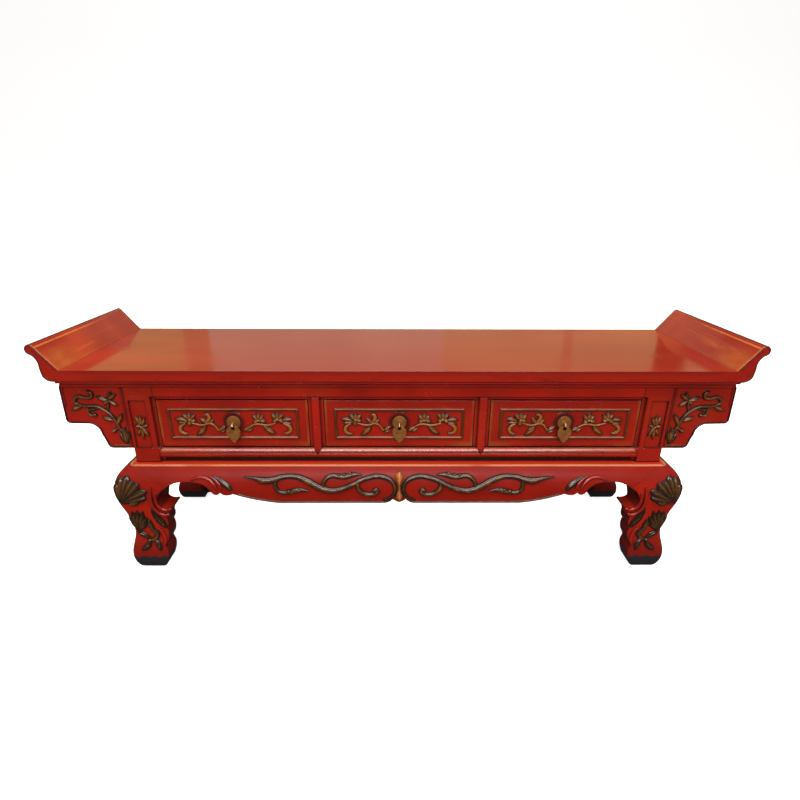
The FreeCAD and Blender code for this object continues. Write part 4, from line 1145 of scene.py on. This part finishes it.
def carve_outlines(side, word, dark, red):
    """Thin glazed rims along the outlines of a bracket and of an upturned end."""
    bracket = "spandrel_front_"
    outer = outline_path(bracket + "left", 2.4, 2.2, SPANDREL_IN, SPANDREL_TOP)
    inner = outline_path(bracket + "left", 6.4, 2.4, SPANDREL_IN, SPANDREL_STEP)
    end = outline_path("flange_left", 1.6, 1.4, FLANGE_IN)
    carve_line("outline_spandrel_" + word, bracket + word, dark, side, 1.8, outer)
    carve_line("rim_spandrel_" + word, bracket + word, red, side, 1.8, inner)
    carve_line("outline_flange_" + word, "flange_" + word, dark, side, 0.9, end)


def carve_pendant(gilt):
    """A gilt drop in the middle of the front apron."""
    carving = Carving("carving_apron_pendant", "apron_front", gilt)
    carving.ridge(6.0, (
        (0, 246, 4.0), (0, 239, 8.0), (0, 228, 6.0), (0, 216, 3.5), (0, 203, 5.5),
        (0, 192, 8.0), (0, 183, 4.0),
    ), LEAF_SHARES)
    carving.finish_mesh()


# Finishes and rounded arrises of the CAD nodes

SOFT_EDGE = 1.6 * MM
ROUND_EDGE = 3.0 * MM
FINE_EDGE = 0.6 * MM
WELD_GAP = 0.02 * MM
EDGE_SEGMENTS = 3
SHARP_ANGLE = math.radians(35)


# How a lacquered node's name begins, and the finish that it has instead of plain red
OWN_LACQUERS = {
    "leg_": "leg_lacquer",
    "apron_": "stand_lacquer",
    "spandrel_": "bracket_lacquer",
    "lower_rail_front": "rail_lacquer",
    # Painted light: a lighter red on these shaded parts.
    "upper_rail_front": "lit_lacquer",
    "muntin_": "lit_lacquer",
    "top_mouldings": "lit_lacquer",
    "top_board": "top_lacquer",
    "flange_": "top_lacquer",
}


def finish_of(name, slot):
    """The finish of a node: its slot's, unless it has one of its own."""
    if name.endswith("_pin"):
        return "pin_brass"
    if slot != "red_lacquer":
        return slot
    if name.startswith("drawer_") and name.endswith("_front"):
        return "drawer_lacquer"
    for start, finish in OWN_LACQUERS.items():
        if name.startswith(start):
            return finish
    return slot


def edge_round(name):
    """How far the arrises of a node are rounded: little where two nodes meet flush."""
    if name.startswith("spandrel_"):
        return ROUND_EDGE
    if name.startswith(("flange_", "top_board", "leg_", "apron_")):
        return FINE_EDGE
    return SOFT_EDGE


def make_finishes():
    """The finishes of the CAD nodes, by name."""
    return {
        "red_lacquer": lacquer_material("red_lacquer"),
        "plain_wood": plain_wood_material(),
        "brass": brass_material("brass"),
        # The pin: pale cream as painted highlight, painted black as shade low down in the hole.
        "pin_brass": brass_material("pin_brass", PIN_HIGHLIGHT_CREAM, BRASS_BRIGHT, PIN_SHADE_FALL),
        "lit_lacquer": lacquer_material("lit_lacquer", LIT_RED),
        "leg_lacquer": leg_material(),
        "stand_lacquer": stand_material(),
        "bracket_lacquer": bracket_material(),
        "rail_lacquer": rail_material(),
        "top_lacquer": top_material(),
        "drawer_lacquer": drawer_material(),
    }


def dress_nodes(finishes):
    """Give every CAD node its finish, and round its arrises a little."""
    slots = {entry["node"]: entry["material_slot"] for entry in frame["record"]["subparts"]}
    for name, node in nodes.items():
        node.data.materials.clear()
        node.data.materials.append(finishes[finish_of(name, slots[name])])
        node.modifiers.new("weld", "WELD").merge_threshold = WELD_GAP
        bevel = node.modifiers.new("bevel", "BEVEL")
        bevel.width = edge_round(name)
        bevel.segments = EDGE_SEGMENTS
        bevel.limit_method = "ANGLE"
        bevel.angle_limit = SHARP_ANGLE
        node.modifiers.new("weighted", "WEIGHTED_NORMAL").keep_sharp = True


def carve_all():
    gilt = carving_material("gilt_carving", GLAZE_BROWN, GILT, 0.45, 1.00)
    bright = carving_material("pendant_carving", GLAZE_BROWN, PENDANT_GILT, 0.30, 0.90)
    shell = carving_material("shell_carving", OLIVE_DARK, LEG_GILT, 0.50, 1.15)
    olive = carving_material(
        "olive_carving", OLIVE_DARK, OLIVE_CREST, 0.62, 1.15, spots=0.45, rough=(0.05, 0.13), level=0.40
    )
    stem = carving_material(
        "stem_carving", OLIVE_DARK, STEM_CREST, 0.50, 1.10, spots=0.40, rough=(0.06, 0.18)
    )
    outline = carving_material(
        "outline_glaze", OUTLINE_DARK, OUTLINE_CREST, 0.50, 1.10, rough=(0.20, 0.36), level=0.22
    )
    red = lacquer_material("carved_lacquer")
    for side, word in ((1, "left"), (-1, "right")):
        carve_spandrel(side, word, gilt, stem)
        carve_outlines(side, word, outline, red)
        carve_post(side, word, gilt)
        carve_leg(side, word, shell, olive, red)
        carve_apron(side, word, olive, red)
    for index, word in enumerate(("left", "middle", "right")):
        carve_drawer(index, word, gilt)
    carve_pendant(bright)


make_camera()
make_studio()
dress_nodes(make_finishes())
carve_all()
